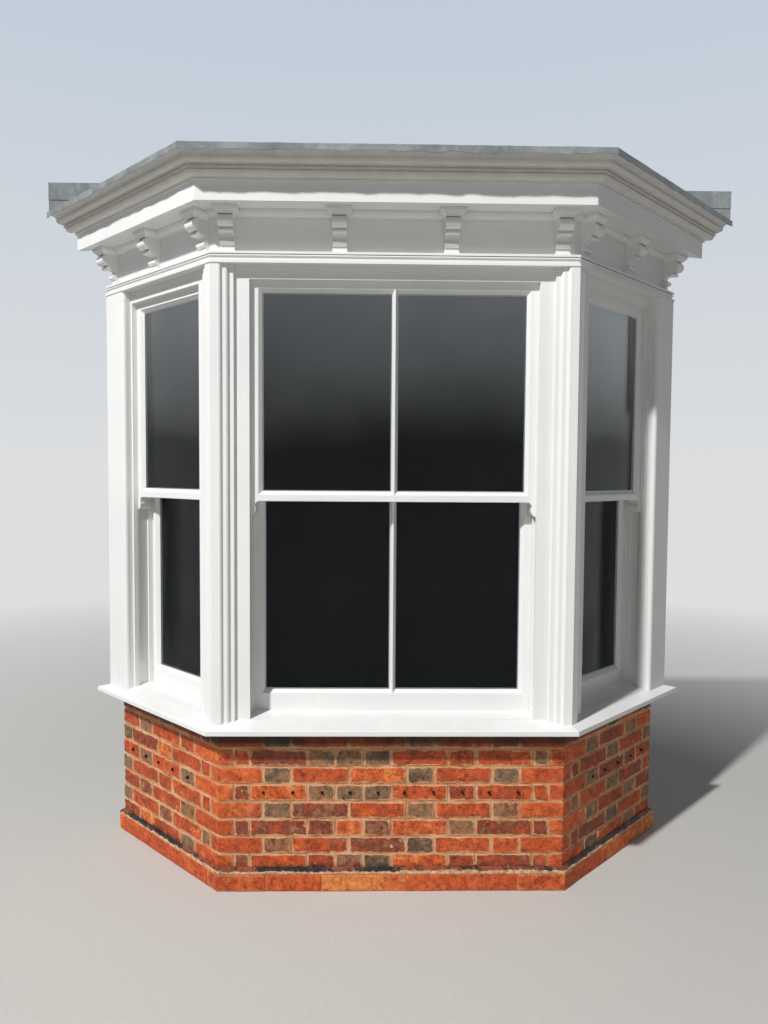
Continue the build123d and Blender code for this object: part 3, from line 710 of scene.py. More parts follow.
def side_course(side, kinds, joint=JOINT, extra=0.0):
    """Places of the bricks along a splay, from the corner to the back."""
    run = 0.0
    places = []
    for kind in kinds:
        middle = run + SIZES[kind] / 2 + extra
        places.append((kind, middle if side == "right" else SIDE_RUN - middle, run))
        run += SIZES[kind] + joint
    return places


# %% [markdown]
# An old brick has crisp but worn arrises, and mortar smeared along them. One blank is modelled
# for each kind: a cube with bevelled edges and enough cuts to be roughened. Its points remember
# how near the rim they are, for the smears, and a vertex group marks where it may be worn.

# %% Brick blanks
SWELL = 0.0018
BRICK_BEVEL = 0.0018
FACE_GRID = (0.0105, 0.045, 0.0092)
SMEAR_WIDTH = 0.016
WORN_WIDTH, WORN_DEPTH = 0.009, 0.012


def mark_arrises(blank, length):
    """Weight the vertices near the edges of the outer face, where bricks wear and mortar clings."""
    places = [vertex.co.copy() for vertex in blank.data.vertices]
    inwards = [min(length / 2 - abs(p.x), p.z, BRICK_HIGH - p.z) for p in places]
    rim = blank.data.attributes.new("rim", "FLOAT", "POINT")
    rim.data.foreach_set("value", [max(0.0, 1 - d / SMEAR_WIDTH) for d in inwards])
    worn = blank.vertex_groups.new(name="arris")
    for index, (p, d) in enumerate(zip(places, inwards)):
        weight = max(0.0, 1 - d / WORN_WIDTH) * max(0.0, 1 - p.y / WORN_DEPTH)
        if weight > 0:
            worn.add([index], weight, "REPLACE")


blanks = {}
for kind, length in SIZES.items():
    deep = WALL if kind == "H" else LEAF
    full = length + SWELL
    blanks[kind] = block("blank_" + kind, (-full / 2, 0, 0), (full / 2, deep, BRICK_HIGH),
                         BRICK_BEVEL, 2, FACE_GRID)
    mark_arrises(blanks[kind], full)
print({kind: len(blank.data.polygons) for kind, blank in blanks.items()})

# %% [markdown]
# A bricklayer never sets two bricks quite alike. Each copy of a blank is turned and set back
# by a small random error, and it remembers how burnt and how pitted it is. The values live on
# the mesh, so that one material serves the whole wall.

# %% Laying a brick
SET_BACK = (0.0002, 0.0024)


def set_tone(piece, tone, rough):
    """Remember how burnt and how rough this brick is, for its material."""
    count = len(piece.data.vertices)
    for key, value in (("burn", tone), ("pitted", rough)):
        attribute = piece.data.attributes.get(key) or piece.data.attributes.new(key, "FLOAT", "POINT")
        attribute.data.foreach_set("value", [value] * count)


def lay(kind, facet, run, height, tone, rough, out=0.0, stretch=1.0, tall=1.0):
    """Copy a blank to a place on a facet, a little out of true."""
    brick = copy_of(blanks[kind], "brick")
    error = Matrix.Rotation(math.radians(draw.uniform(-0.5, 0.5)), 4, "Y")
    error = Matrix.Rotation(math.radians(draw.uniform(-0.6, 0.6)), 4, "Z") @ error
    place = Matrix.Translation((run, draw.uniform(*SET_BACK) - out, height))
    brick.data.transform(facet.matrix @ place @ error @ Matrix.Diagonal((stretch, 1, tall, 1)))
    set_tone(brick, tone, rough)
    return brick


def burn_of(kind):
    """Headers are mostly over-burnt, stretchers mostly orange to red."""
    if kind == "H":
        return draw.choice((0.97, 0.9, 0.84, 0.76, 0.7, 0.62, 0.36, 0.14)) + draw.uniform(-0.04, 0.04)
    if kind == "C":
        return draw.choice((0.74, 0.5, 0.3))
    return draw.choice((0.12, 0.18, 0.22, 0.28, 0.34, 0.42, 0.5, 0.56, 0.26)) + draw.uniform(-0.05, 0.05)


print("bricks are set back by", SET_BACK)

# %% [markdown]
# A squint brick is moulded to the corner's angle, long on one side and short on the other. It
# could be bent from one blank. Two legs cut on the mitre with bisect and then joined give a
# sharper corner, as the real mould does.

# %% Squint bricks
SPARE = 0.05
SQUINT_SET_BACK = 0.0012
SQUINT_ROUGH = 0.04


def squint(front_leg, side_leg, side, height, out, tone, tall=1.0, grow=0.0):
    """One brick folded round a corner, its legs cut to meet on the mitre."""
    sign = 1 if side == "right" else -1
    reach = out * TURN
    corner = Vector((sign * (FRONT_HALF + reach), FRONT_Y - out, 0))
    legs = []
    for facet_name, leg in (("front", front_leg), (side, side_leg)):
        on_front = facet_name == "front"
        size = SIZES[leg] + reach + (grow if on_front else 0.0)
        middle = (size - SPARE) / 2 - reach
        if on_front == (side == "right"):
            middle = LENGTHS[facet_name] - middle
        piece = copy_of(blanks[leg], "leg")
        facet = FACETS[facet_name]
        place = Matrix.Translation((middle, SQUINT_SET_BACK - out, height))
        scale = Matrix.Diagonal(((size + SPARE) / SIZES[leg], 1, tall, 1))
        piece.data.transform(facet.matrix @ place @ scale)
        legs.append(trim(piece, corner, past_corner(sign) if on_front else -past_corner(sign)))
    brick = join("squint", legs)
    set_tone(brick, tone, SQUINT_ROUGH)
    return brick


print("squint legs", SIZES["L"], "and", SIZES["K"], "m")

# %% [markdown]
# At some time a fluid against damp was poured into a row of drilled holes: two in each
# stretcher, one in each header. A dark dot in the material would look flat close up. Cylinders
# and a boolean cut bore the holes, and a plug set further in is painted near-black as the shade
# inside each hole.

# %% Drilled bricks
DRILLED_ROW = 4
HOLES = {"S": (-0.062, 0.058), "H": (0.004,), "C": (), "K": (), "L": ()}
DRILL_RADIUS, DRILL_LENGTH = 0.0065, 0.09
DRILL_START = -0.01
PLUG_DEEPER = 0.0495
# A tone past 1.2 turns the plugs near-black, as painted shade in the holes.
HOLE_SHADE_TONE = 1.6
DRILLED_ROUGH = 0.6


def drilled(brick, kind, facet, run, height, tone):
    """Bore the holes of one kind of brick, and leave a near-black plug in each as painted shade."""
    shade_plugs = []
    for spot in HOLES[kind]:
        deselect()
        bpy.ops.mesh.primitive_cylinder_add(vertices=16, radius=DRILL_RADIUS, depth=DRILL_LENGTH,
                                            rotation=(math.pi / 2, 0, 0))
        drill = bpy.context.active_object
        bpy.ops.object.transform_apply(location=True, rotation=True, scale=True)
        start = Matrix.Translation((run + spot, DRILL_START, height + BRICK_HIGH / 2))
        drill.data.transform(facet.matrix @ start)
        set_tone(drill, HOLE_SHADE_TONE, 0.0)
        bore = brick.modifiers.new("bore", "BOOLEAN")
        bore.operation = "DIFFERENCE"
        bore.object = drill
        deselect()
        bpy.context.view_layer.objects.active = brick
        bpy.ops.object.modifier_apply(modifier=bore.name)
        deeper = Matrix.Translation((0, PLUG_DEEPER, 0))
        drill.data.transform(facet.matrix @ deeper @ facet.matrix.inverted())
        shade_plugs.append(drill)
    set_tone(brick, tone, DRILLED_ROUGH)
    return join("brick", [brick] + shade_plugs)


print("drilled course", DRILLED_ROW, "holes", HOLES["S"] + HOLES["H"])

# %% [markdown]
# Now the wall goes up, course by course, as a bricklayer would build it: the front between its
# two corners, then each side, then the squint brick that ties the two together. Bricks that
# would start past the back of the bay are left out.

# %% Outer courses
FIRST_COURSE_UP = 0.001
SHORTEST_CUT = 0.01


def face_brick(kind, side, run, height, row):
    """One brick of the outer face, drilled if its course is."""
    tone = burn_of(kind)
    brick = lay(kind, FACETS[side], run, height, tone, draw.uniform(0.1, 1.0))
    if row == DRILLED_ROW:
        brick = drilled(brick, kind, FACETS[side], run, height, tone)
    return brick


outer_bricks = {"front": [], "left": [], "right": []}
for row in range(COURSES):
    front_kinds, side_kinds = bonds(row)
    height = bed(row) + (0.0 if row else FIRST_COURSE_UP)
    for kind, run in front_course(FRONT_BOND[front_kinds])[1:-1]:
        outer_bricks["front"].append(face_brick(kind, "front", run, height, row))
    for side in ("left", "right"):
        for kind, at, run in side_course(side, SIDE_BOND[side_kinds])[1:]:
            if run < SIDE_RUN - SHORTEST_CUT:
                outer_bricks[side].append(face_brick(kind, side, at, height, row))
        legs = ("K", "L") if front_kinds == "short" else ("L", "K")
        outer_bricks["front"].append(squint(*legs, side, height, 0.0, draw.uniform(0.12, 0.26)))
print({side: len(bricks) for side, bricks in outer_bricks.items()})

# %% [markdown]
# The room side of the wall shows the same bond: the headers go right through, and behind each
# stretcher stands another one. It is seen less, so its bricks are copies of plainer blanks,
# pushed to the inner face.

# %% Inner leaf
INNER_BEVEL = 0.003
INNER_GRID = (0.026, 0.05, 0.02)
INNER_FACE = WALL - 0.001
for kind, length in SIZES.items():
    blank = block("inner_" + kind, (-length / 2, WALL - LEAF, 0), (length / 2, INNER_FACE, BRICK_HIGH),
                  INNER_BEVEL, 2, INNER_GRID)
    mark_arrises(blank, length)
    blanks["inner " + kind] = blank
room_bricks = []
for row in range(COURSES):
    front_kinds, side_kinds = bonds(row)
    places = [("front", kind, run) for kind, run in front_course(FRONT_BOND[front_kinds])]
    for side in ("left", "right"):
        places += [(side, kind, at) for kind, at, run in side_course(side, SIDE_BOND[side_kinds])]
    for side, kind, run in places:
        if kind != "H":
            tone = burn_of(kind)
            room_bricks.append(lay("inner " + kind, FACETS[side], run, bed(row), tone, draw.random()))
print("inner bricks", len(room_bricks))

# %% [markdown]
# The bricks now become one mesh for each face, which is lighter than some two hundred objects.
# They stop where the CAD wall ends at the back. On the outer faces broad dents come first, then
# worn arrises, spalls and fine grit, so that they are rough at every scale. The room face gets
# only broad dents.

# %% Trim, join and roughen the bricks
WALL_CUT = Vector((0, WALL_Y - 0.0015, 0))
BACK_CUT = Vector((0, CAD_BOX[1][1] - 0.002, 0))
BRICK_ANGLE = 40
for brick in room_bricks:
    trim_behind(brick, BACK_CUT)
for side in ("left", "right"):
    for brick in outer_bricks[side]:
        trim_behind(brick, WALL_CUT)
bricks = {}
for side, laid in outer_bricks.items():
    bricks[side] = join("face_bricks_" + side, laid)
    roughen(bricks[side], "brick_dents", 0.0035, 0.03)
    roughen(bricks[side], "worn_arrises", 0.0065, 0.014, 0.66, 1.6, "arris")
    roughen(bricks[side], "spalls", -0.0026, 0.028, 0.16, 2.2)
    roughen(bricks[side], "brick_grit", 0.0020, 0.007)
bricks["room"] = join("room_bricks", [brick for brick in room_bricks if brick.data.polygons])
roughen(bricks["room"], "room_dents", 0.0030, 0.03)
for face in bricks.values():
    smooth(face, BRICK_ANGLE)
    print(face.name, len(face.data.polygons), "faces")

# %% [markdown]
# ## Brick and mortar finishes
# One ramp carries a brick from bright orange through red and brown to the grey of an
# over-burnt header, by the value that each brick remembers. A material for each tone could do
# the same, but a ramp also lets the tone drift within a brick, as it does in a kiln. Dark iron
# spots, sandy flecks, smeared mortar and soot lie over it. Painted shadow darkens the bricks
# just under the sill, and the plugs in the drill holes are painted near-black as the shade
# inside them.

# %% Brick material
SILL_SHADOW_LOW, SILL_SHADOW_HIGH = 0.592, 0.616
DAMP_LOW, DAMP_HIGH = 0.090, 0.118
SHADOW_AND_DAMP_BLACK = (0.020, 0.011, 0.008)


def kiln_colour(clay, burn, pitted):
    """The colour of the clay itself, mottled and drifting within a brick."""
    drift = clay.level(clay.noise(20.0, 7.0, rough=0.7), 0.3, 0.7, -0.27, 0.27)
    heat = clay.plus(burn, clay.times(drift, clay.level(pitted, 0.0, 0.2, 0.55, 1.0)))
    colour = clay.ramp(
        heat,
        (0.0, (0.80, 0.270, 0.075)),
        (0.07, (0.74, 0.165, 0.046)),
        (0.22, (0.60, 0.105, 0.032)),
        (0.4, (0.42, 0.082, 0.034)),
        (0.56, (0.24, 0.064, 0.040)),
        (0.70, (0.40, 0.185, 0.090)),
        (0.85, (0.28, 0.170, 0.095)),
        (1.0, (0.15, 0.100, 0.060)),
    )
    mottle = clay.noise(44.0, 9.0, rough=0.78)
    shade = clay.ramp(mottle, (0.36, (0.36, 0.33, 0.32)), (0.47, (0.86, 0.85, 0.85)),
                      (0.62, (1.18, 1.14, 1.10)))
    return clay.blend(1.0, colour, shade, "MULTIPLY"), mottle


def brick_dirt_and_shade(clay, colour, burn, pitted, soot_and_shadow_clouds):
    """Smeared mortar along the rim, painted shadow under the sill, damp at the foot and near-black plugs
    painted as shade in the drill holes.
    """
    smear = clay.plus(clay.times(clay.remembered("rim"), 0.62), clay.noise(26.0, 8.0, rough=0.7))
    smear = clay.times(clay.level(smear, 0.92, 1.02, 0, 0.85), clay.level(pitted, 0.0, 0.1))
    colour = clay.blend(smear, colour, (0.72, 0.42, 0.23))
    height = clay.upward()
    damp = clay.times(clay.level(height, DAMP_HIGH, DAMP_LOW),
                      clay.level(clay.noise(30.0, 7.0, rough=0.7), 0.47, 0.56))
    damp = clay.times(damp, clay.level(pitted, 0.0, 0.1, 0.0, 0.85))
    # Painted shadow of the sill: the bricks just under the sill go almost black, patchy by clouds.
    sill_shadow = clay.times(clay.level(height, SILL_SHADOW_LOW, SILL_SHADOW_HIGH, 0.0, 0.95),
                       clay.level(soot_and_shadow_clouds, 0.3, 0.6, 0.8, 1.0))
    colour = clay.blend(clay.maths("MAXIMUM", sill_shadow, damp), colour, SHADOW_AND_DAMP_BLACK)
    # Painted shade: the drill-hole plugs, whose tone is past 1.2, turn near-black.
    return clay.blend(clay.level(burn, 1.2, 1.3), colour, (0.012, 0.009, 0.008))


def burnt_clay():
    clay = Finish("burnt_clay")
    burn = clay.remembered("burn")
    pitted = clay.remembered("pitted")
    colour, mottle = kiln_colour(clay, burn, pitted)
    spots = clay.noise(75.0, 5.0, rough=0.65)
    iron = clay.times(clay.level(spots, 0.55, 0.68), clay.level(pitted, 0, 1, 0.25, 0.9))
    colour = clay.blend(iron, colour, (0.10, 0.035, 0.022))
    flecks = clay.noise(210.0, 3.0)
    colour = clay.blend(clay.level(flecks, 0.64, 0.74, 0, 0.55), colour, (0.62, 0.40, 0.22))
    soot_and_shadow_clouds = clay.noise(7.0, 7.0, rough=0.7)
    colour = clay.blend(clay.level(soot_and_shadow_clouds, 0.56, 0.74, 0, 0.6), colour, (0.075, 0.045, 0.032))
    bloom = clay.noise(8.0, 8.0, rough=0.75)
    colour = clay.blend(clay.level(bloom, 0.58, 0.80, 0, 0.55), colour, (0.62, 0.36, 0.27))
    colour = brick_dirt_and_shade(clay, colour, burn, pitted, soot_and_shadow_clouds)
    grit = clay.plus(clay.times(flecks, 0.4), clay.times(spots, pitted))
    grit = clay.plus(grit, clay.times(mottle, 1.1))
    return clay.finish(Base_Color=colour, Roughness=clay.level(spots, 0.3, 0.7, 0.72, 0.93),
                       Normal=clay.bump(grit, 0.0045, 0.9))


CLAY = burnt_clay()
print("clay nodes", len(CLAY.node_tree.nodes))

# %% [markdown]
# The mortar is buff lime and coarse sand, stained by the bricks beside it, with painted shadow
# darkening it under the sill. Its grains are too small to model, so they are colour and bump.

# %% Mortar material


def lime_mortar():
    lime = Finish("lime_mortar")
    clouds = lime.noise(9.0, 6.0, rough=0.65)
    sand = lime.noise(330.0, 3.0)
    colour = lime.ramp(clouds, (0.3, (0.36, 0.130, 0.055)), (0.5, (0.66, 0.34, 0.165)),
                       (0.72, (0.82, 0.54, 0.32)))
    colour = lime.blend(lime.level(sand, 0.52, 0.7, 0, 0.5), colour, (0.30, 0.15, 0.07))
    # Painted shadow of the sill: the mortar just under the sill goes almost black.
    sill_shadow = lime.level(lime.upward(), SILL_SHADOW_LOW, SILL_SHADOW_HIGH, 0.0, 0.90)
    colour = lime.blend(sill_shadow, colour, (0.040, 0.022, 0.014))
    lumps = lime.noise(60.0, 5.0, rough=0.7)
    return lime.finish(Base_Color=colour, Roughness=0.92,
                       Normal=lime.bump(lime.plus(sand, lumps), 0.003, 0.9))


MORTAR = lime_mortar()
print("mortar nodes", len(MORTAR.node_tree.nodes))

# %% [markdown]
# Mortar could be modelled joint by joint. It is simpler to copy the wall's own CAD shape, merge
# it and draw it in by a few millimetres, so that it fills every joint, closes the wall behind
# the bricks and lets them stand proud of it. A fine grid lets the pointing be roughened too.

# %% Mortar core of the wall
SAME_PLACE = 0.00001
MORTAR_BACK = 0.0046
MORTAR_GRID = (0.012, 0.0092)


def merged_copy(node, name):
    """A copy of a CAD node with its loose triangles merged into plain faces."""
    piece = copy_of(NODES[node], name)
    piece.parent = None
    for key in [key for key in piece.keys() if key.startswith("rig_")]:
        del piece[key]
    start_edit(piece)
    bpy.ops.mesh.remove_doubles(threshold=SAME_PLACE)
    bpy.ops.mesh.dissolve_limited(angle_limit=math.radians(1))
    bpy.ops.mesh.customdata_custom_splitnormals_clear()
    end_edit()
    return piece


def drawn_in(node, name, amount):
    """A merged copy of a CAD node in mortar, with its upright faces moved inwards."""
    core = merged_copy(node, name)
    for face in core.data.polygons:
        face.select = abs(face.normal.z) < 0.5
    bpy.ops.object.mode_set(mode="EDIT")
    bpy.ops.mesh.select_mode(type="FACE")
    bpy.ops.transform.shrink_fatten(value=-amount, use_even_offset=True)
    end_edit()
    set_material(core, MORTAR)
    return core


wall_core = drawn_in("brick_dwarf_wall", "mortar_core", MORTAR_BACK)
cut_grid(wall_core, *MORTAR_GRID)
roughen(wall_core, "pointing", 0.0055, 0.018, 0.62, 1.4)
smooth(wall_core, 50)
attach(wall_core, "root")
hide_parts("brick_dwarf_wall")
for side, wall in bricks.items():
    set_material(wall, CLAY)
    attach(wall, "root")
print("mortar core", [round(v, 3) for v in wall_core.dimensions])

# %% [markdown]
# ## Base course
# The lowest course stands out from the wall like a plinth. Its bricks are newer, smoother and
# brighter, with tight joints. They are laid from the same blanks, stretched a little in length
# and height, since only the outer face of them shows.

# %% Base course
BASE_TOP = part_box("base_course")[1].z
BASE_OUT = 0.018
BASE_LOW, BASE_BED = 0.0035, 0.0065
BASE_TALL = (BASE_TOP - BASE_BED) / BRICK_HIGH
BASE_LEG, BASE_JOINT, BASE_HEADER = 0.196, 0.0035, 0.112
BASE_SIDE, BASE_SIDE_JOINT, BASE_GROW = "KSSSS", JOINT * 0.7, 0.004
BASE_FRONT = list(zip("SSHSS", (0.20, -0.02, 0.06, 0.16, 0.22)))
base_bricks = []
run = -BASE_OUT * TURN + BASE_LEG + BASE_JOINT
base_stretcher = (LENGTHS["front"] - 2 * run - BASE_HEADER - 4 * BASE_JOINT) / 4
for kind, tone in BASE_FRONT:
    size = BASE_HEADER if kind == "H" else base_stretcher
    base_bricks.append(lay(kind, FACETS["front"], run + size / 2, BASE_LOW, tone, 0.0, BASE_OUT,
                           size / SIZES[kind], BASE_TALL))
    run += size + BASE_JOINT
for side in ("left", "right"):
    for kind, at, run in side_course(side, BASE_SIDE, BASE_SIDE_JOINT, BASE_GROW)[1:]:
        if run < SIDE_RUN - SHORTEST_CUT:
            stretch = (SIZES[kind] + BASE_GROW) / SIZES[kind]
            brick = lay(kind, FACETS[side], at, BASE_LOW, draw.uniform(0.0, 0.3), 0.0, BASE_OUT, stretch,
                        BASE_TALL)
            trim_behind(brick, WALL_CUT)
            base_bricks.append(brick)
    base_bricks.append(squint("L", "K", side, BASE_LOW, BASE_OUT, draw.uniform(0.14, 0.22), BASE_TALL,
                              BASE_LEG - SIZES["L"] - BASE_OUT * TURN))
base = join("base_bricks", base_bricks)
roughen(base, "base_dents", 0.003, 0.04)
roughen(base, "base_grit", 0.0012, 0.01)
smooth(base, BRICK_ANGLE)
set_material(base, CLAY)
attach(base, "root")
print("base bricks", len(base.data.polygons), "faces")

# %% [markdown]
# Its mortar is the CAD base course itself, drawn in behind the bricks in the same way.

# %% Mortar core of the base course
base_core = drawn_in("base_course", "base_mortar", 0.005)
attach(base_core, "root")
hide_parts("base_course")
print("base mortar", [round(v, 3) for v in base_core.dimensions])

# %% [markdown]
# ## Dressed lead
# Lead is cut by hand and beaten down over the edge with a dresser, so its lower edge wanders by
# a few millimetres and its lip is full of shallow dents. A new sheet could be modelled. The
# copy of the CAD roof keeps the right size and fold, and only its outer lip is displaced.

# %% Dressed lead roof
LIP_WIDTH = 0.0045
CUT_EDGE_HIGH = 0.008
sheet = merged_copy("lead_roof", "dressed_lead")
cut_grid(sheet, 0.022, 0.011)
points = sheet.data.vertices
reach = [max(facet.local(vertex.co)[1] for facet in FACETS.values()) for vertex in points]
edge = max(reach)
low_lip = min(vertex.co.z for vertex in points)
lip = [vertex.index for vertex, out in zip(points, reach) if out > edge - LIP_WIDTH]
cut_edge = [index for index in lip if points[index].co.z < low_lip + CUT_EDGE_HIGH]
for title, chosen in (("lip", lip), ("cut_edge", cut_edge)):
    sheet.vertex_groups.new(name=title).add(chosen, 1.0, "REPLACE")
roughen(sheet, "cut_line", 0.012, 0.07, 0.42, 1.6, "cut_edge", "Z")
roughen(sheet, "beaten", 0.0030, 0.028, 1.0, 1.2, "lip", "Z")
smooth(sheet, 35)
set_material(sheet, LEAD)
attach(sheet, "root")
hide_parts("lead_roof")
print("lead lip", round(edge, 4), "out,", len(sheet.data.polygons), "faces")

# %% [markdown]
# ## Damp course
# A band of old bitumen was brushed over the first bed joint. It is dull black, lumpy and worn
# off in patches, where the brick shows through, with crumbs of mortar along its foot. The
# patches could be cut out of the mesh. Colour does it better, because what wears away is only
# a film.

# %% Bitumen
TAR_HIGH = 0.026


def bitumen():
    tar = Finish("old_bitumen")
    lumps = tar.noise(48.0, 6.0, rough=0.7)
    colour = tar.ramp(lumps, (0.35, (0.010, 0.010, 0.011)), (0.55, (0.030, 0.028, 0.028)),
                      (0.72, (0.12, 0.08, 0.06)))
    patches = tar.plus(tar.noise(6.5, 3.0), tar.times(tar.noise(70.0, 6.0, rough=0.75), 0.5))
    colour = tar.blend(tar.level(patches, 0.77, 0.82, 0.0, 0.9), colour, (0.28, 0.085, 0.045))
    rise = tar.level(tar.upward(), BASE_TOP, BASE_TOP + TAR_HIGH, -0.5, 0.5)
    bare = tar.plus(tar.times(tar.noise(4.5, 3.0), 0.9), tar.times(tar.noise(36.0, 7.0, rough=0.75), 0.9))
    crumbs = tar.ramp(lumps, (0.35, (0.30, 0.13, 0.07)), (0.6, (0.70, 0.44, 0.26)))
    colour = tar.blend(tar.level(tar.maths("SUBTRACT", bare, rise), 0.93, 0.99), colour, crumbs)
    return tar.finish(Base_Color=colour, Roughness=tar.level(lumps, 0.3, 0.7, 0.42, 0.85),
                      Normal=tar.bump(lumps, 0.006, 0.9))


TAR = bitumen()
finish_node("damp_proof_course", TAR)
print("damp course in", TAR.name)

# %% [markdown]
# The brush left a thick lumpy band with a wavy upper edge on the bricks. A long strip is
# modelled for each side, cut to a fine grid, mitred at the corners and pushed about by clouds.

# %% Lumpy tar band
STRIP_LOW, STRIP_HIGH = (-0.0125, -0.001), (0.004, 0.024)
STRIP_SPARE = 0.02
STRIP_GRID = (0.011, 0.006, 0.006)
WAVY_FROM = 0.012
strips = []
for side, facet in FACETS.items():
    low = (-STRIP_SPARE, STRIP_LOW[0], BASE_TOP + STRIP_LOW[1])
    high = (LENGTHS[side] + STRIP_SPARE, STRIP_HIGH[0], BASE_TOP + STRIP_HIGH[1])
    strip = block("tar_strip", low, high, 0.004, 2, STRIP_GRID)
    wavy = [vertex.index for vertex in strip.data.vertices if vertex.co.z > BASE_TOP + WAVY_FROM]
    strip.vertex_groups.new(name="upper_edge").add(wavy, 1.0, "REPLACE")
    strip.data.transform(facet.matrix)
    for corner_side, sign in (("left", -1), ("right", 1)):
        if side == "front":
            trim(strip, (sign * FRONT_HALF, FRONT_Y, 0), past_corner(sign))
        elif side == corner_side:
            trim(strip, (sign * FRONT_HALF, FRONT_Y, 0), -past_corner(sign))
    if side != "front":
        trim(strip, WALL_CUT, (0, 1, 0))
    strips.append(strip)
tar_band = join("tar_band", strips)
roughen(tar_band, "tar_edge", 0.030, 0.045, 0.62, 1.8, "upper_edge", "Z")
roughen(tar_band, "tar_lumps", 0.011, 0.020, 0.66, 1.8)
smooth(tar_band, 50)
set_material(tar_band, TAR)
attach(tar_band, "root")
print("tar band", len(tar_band.data.polygons), "faces")

# %% [markdown]
# ## Sealed glass units
# Each pane is a double-glazed unit: two sheets of glass with a pale spacer bar round the edge
# between them. The panes look dark from outside, as with an unlit room behind, and that
# darkness is painted shade: the inner sheet is near-black and lets little through. Their soft
# reflections are painted by height, bright high up and dim low down. One dark block would hide
# the spacer. So the inner sheet carries the painted darkness and the outer one stays clear.

# %% Glass materials
# Heights where the painted reflection of the panes goes from dim to bright.
DIM_BELOW, BRIGHT_ABOVE = 1.85, 2.45


def painted_reflection_share(glass):
    """Painted reflection: a share from 0 to 1 that rises with height, a little clouded, so high panes reflect
    more than low ones.
    """
    cloud = glass.level(glass.noise(1.1, 3.0), 0.3, 0.7, -0.12, 0.12)
    return glass.level(glass.plus(glass.upward(), cloud), DIM_BELOW, BRIGHT_ABOVE, 0.0, 1.0)


def clear_glass():
    glass = Finish("clear_float_glass")
    film = glass.noise(3.0, 4.0)
    # Painted reflection: the outer sheet's IOR rises with height, so it mirrors more high up.
    return glass.finish(Base_Color=(0.93, 0.96, 0.95, 1), Roughness=glass.level(film, 0.3, 0.7, 0.0, 0.02),
                        IOR=glass.level(painted_reflection_share(glass), 0, 1, 1.12, 1.66), Transmission_Weight=1.0)


def painted_dark_inner_glass():
    glass = Finish("shade_painted_inner_glass")
    # Painted shade: the near-black colour and low transmission stand for a dark room behind, and the gloss is
    # painted by height.
    film = glass.noise(1.4, 4.0, glass.map((1, 1, 0.5)))
    colour = glass.ramp(film, (0.3, (0.005, 0.006, 0.007)), (0.7, (0.012, 0.013, 0.015)))
    gloss = glass.level(painted_reflection_share(glass), 0, 1, 0.06, 1.0)
    return glass.finish(Base_Color=colour, Roughness=glass.level(film, 0.3, 0.7, 0.02, 0.06), IOR=1.45,
                        Transmission_Weight=0.03, Specular_IOR_Level=gloss)


def spacer_bar():
    bar = Finish("pale_spacer")
    grain = bar.noise(160.0, 3.0)
    colour = bar.ramp(grain, (0.3, (0.55, 0.56, 0.56)), (0.7, (0.66, 0.67, 0.67)))
    return bar.finish(Base_Color=colour, Metallic=0.3, Roughness=bar.level(grain, 0.3, 0.7, 0.35, 0.5),
                      Normal=bar.bump(grain, 0.0002, 0.4))


CLEAR, PAINTED_DARK_INNER, SPACER = clear_glass(), painted_dark_inner_glass(), spacer_bar()
print("glass finishes", CLEAR.name, PAINTED_DARK_INNER.name, SPACER.name)

# %% [markdown]
# The panes of a facet are one CAD node. Their corners fall on a few runs and heights, and these
# are read in pairs, one pair for each pane, so that every unit fits its own rebate.

# %% Where the panes are
SAME_LEVEL = 0.001


def levels(values):
    """The separate values in a list, with those within a millimetre taken as one."""
    found = []
    for value in sorted(values):
        if not found or value - found[-1] > SAME_LEVEL:
            found.append(value)
    return found


def pane_boxes(node, facet):
    """Lowest and highest run, offset and height of each loose pane in a CAD node."""
    points = [facet.local(vertex.co) for vertex in NODES[node].data.vertices]
    runs = levels(point[0] for point in points)
    heights = levels(point[2] for point in points)
    near_by = 2 * SAME_LEVEL
    boxes = []
    for low, high in zip(heights[::2], heights[1::2]):
        for near, far in zip(runs[::2], runs[1::2]):
            offsets = [p[1] for p in points
                       if near - near_by < p[0] < far + near_by and low - near_by < p[2] < high + near_by]
            boxes.append((near, far, min(offsets), max(offsets), low, high))
    return boxes


PANES = {side: pane_boxes("glass_" + side, facet) for side, facet in FACETS.items()}
print("panes", {side: len(boxes) for side, boxes in PANES.items()})

# %% [markdown]
# A spacer is a hollow rectangular bar. A block is added, its two large faces are inset, and
# bridging them opens it through the middle. The two sheets are plain thin blocks.

# %% Glass units
SHEET = 0.004
GAP = 0.0003
SPACER_WIDTH, SPACER_IN = 0.0105, 0.001


def ring(name, low, high, width):
    """A hollow rectangular bar: a block with its two faces inset and bridged through."""
    piece = block(name, low, high)
    edit_faces(piece, lambda face: abs(face.normal.y) > 0.5)
    bpy.ops.mesh.inset(thickness=width)
    bpy.ops.mesh.bridge_edge_loops()
    end_edit()
    return piece


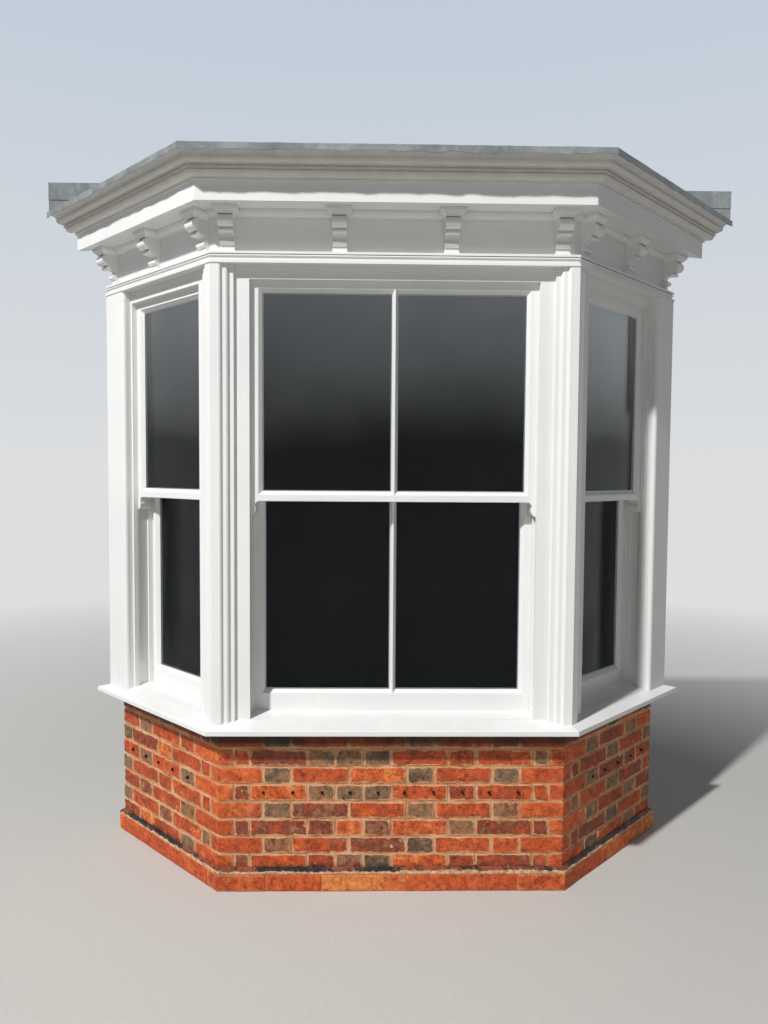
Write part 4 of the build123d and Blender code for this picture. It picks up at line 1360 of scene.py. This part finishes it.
def sealed_unit(box, facet):
    """Two sheets and their spacer, in the box of one pane."""
    near, far, inside, outside, low, high = box
    front, back = -outside + GAP, -inside - GAP
    outer = block("outer", (near, front, low), (far, front + SHEET, high), 0.0005, 1)
    inner = block("inner", (near, back - SHEET, low), (far, back, high), 0.0005, 1)
    bar = ring("bar", (near + SPACER_IN, front + SHEET + GAP, low + SPACER_IN),
               (far - SPACER_IN, back - SHEET - GAP, high - SPACER_IN), SPACER_WIDTH)
    for piece, material in ((outer, CLEAR), (inner, PAINTED_DARK_INNER), (bar, SPACER)):
        set_material(piece, material)
    unit = join("unit", [outer, inner, bar])
    unit.data.transform(facet.matrix)
    return unit


for side, facet in FACETS.items():
    glazing = join("sealed_units_" + side, [sealed_unit(box, facet) for box in PANES[side]])
    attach(glazing, "root")
    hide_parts("glass_" + side)
    print(glazing.name, len(glazing.data.polygons), "faces")

# %% [markdown]
# ## Floor
# The bay needs a floor to stand on and to catch its shadow. A plain pale disc would end in a
# hard line, so this one fades out into the pale background.

# %% Floor
FLOOR_RADIUS = 30
FADE_FROM, FADE_TO = 2.2, 8.0
deselect()
bpy.ops.mesh.primitive_circle_add(vertices=96, radius=FLOOR_RADIUS, fill_type="NGON", location=(0, 0, 0))
floor = bpy.context.active_object
floor.name = "studio_floor"
pale = Finish("pale_floor")
tone = pale.ramp(pale.noise(60.0, 4.0), (0.3, (0.535, 0.52, 0.49)), (0.7, (0.57, 0.555, 0.525)))
pale.finish(Base_Color=tone, Roughness=0.7, Specular_IOR_Level=0.25)
away = pale.add("VectorMath", {"operation": "LENGTH"})
pale.give(away.inputs[0], pale.place)
clear = pale.add("BsdfTransparent")
mix = pale.add("MixShader", Fac=pale.level(away.outputs["Value"], FADE_FROM, FADE_TO))
pale.give(mix.inputs[1], pale.shader.outputs[0])
pale.give(mix.inputs[2], clear.outputs[0])
pale.give(pale.end.inputs["Surface"], mix.outputs[0])
floor.data.materials.append(pale.material)
print("floor radius", FLOOR_RADIUS)

# %% [markdown]
# ## Clear away and finish
# The blanks were only patterns, so they go. The colour management is plain.

# %% Finish
for blank in blanks.values():
    bpy.data.objects.remove(blank, do_unlink=True)
bpy.context.scene.view_settings.view_transform = "Standard"
deselect()
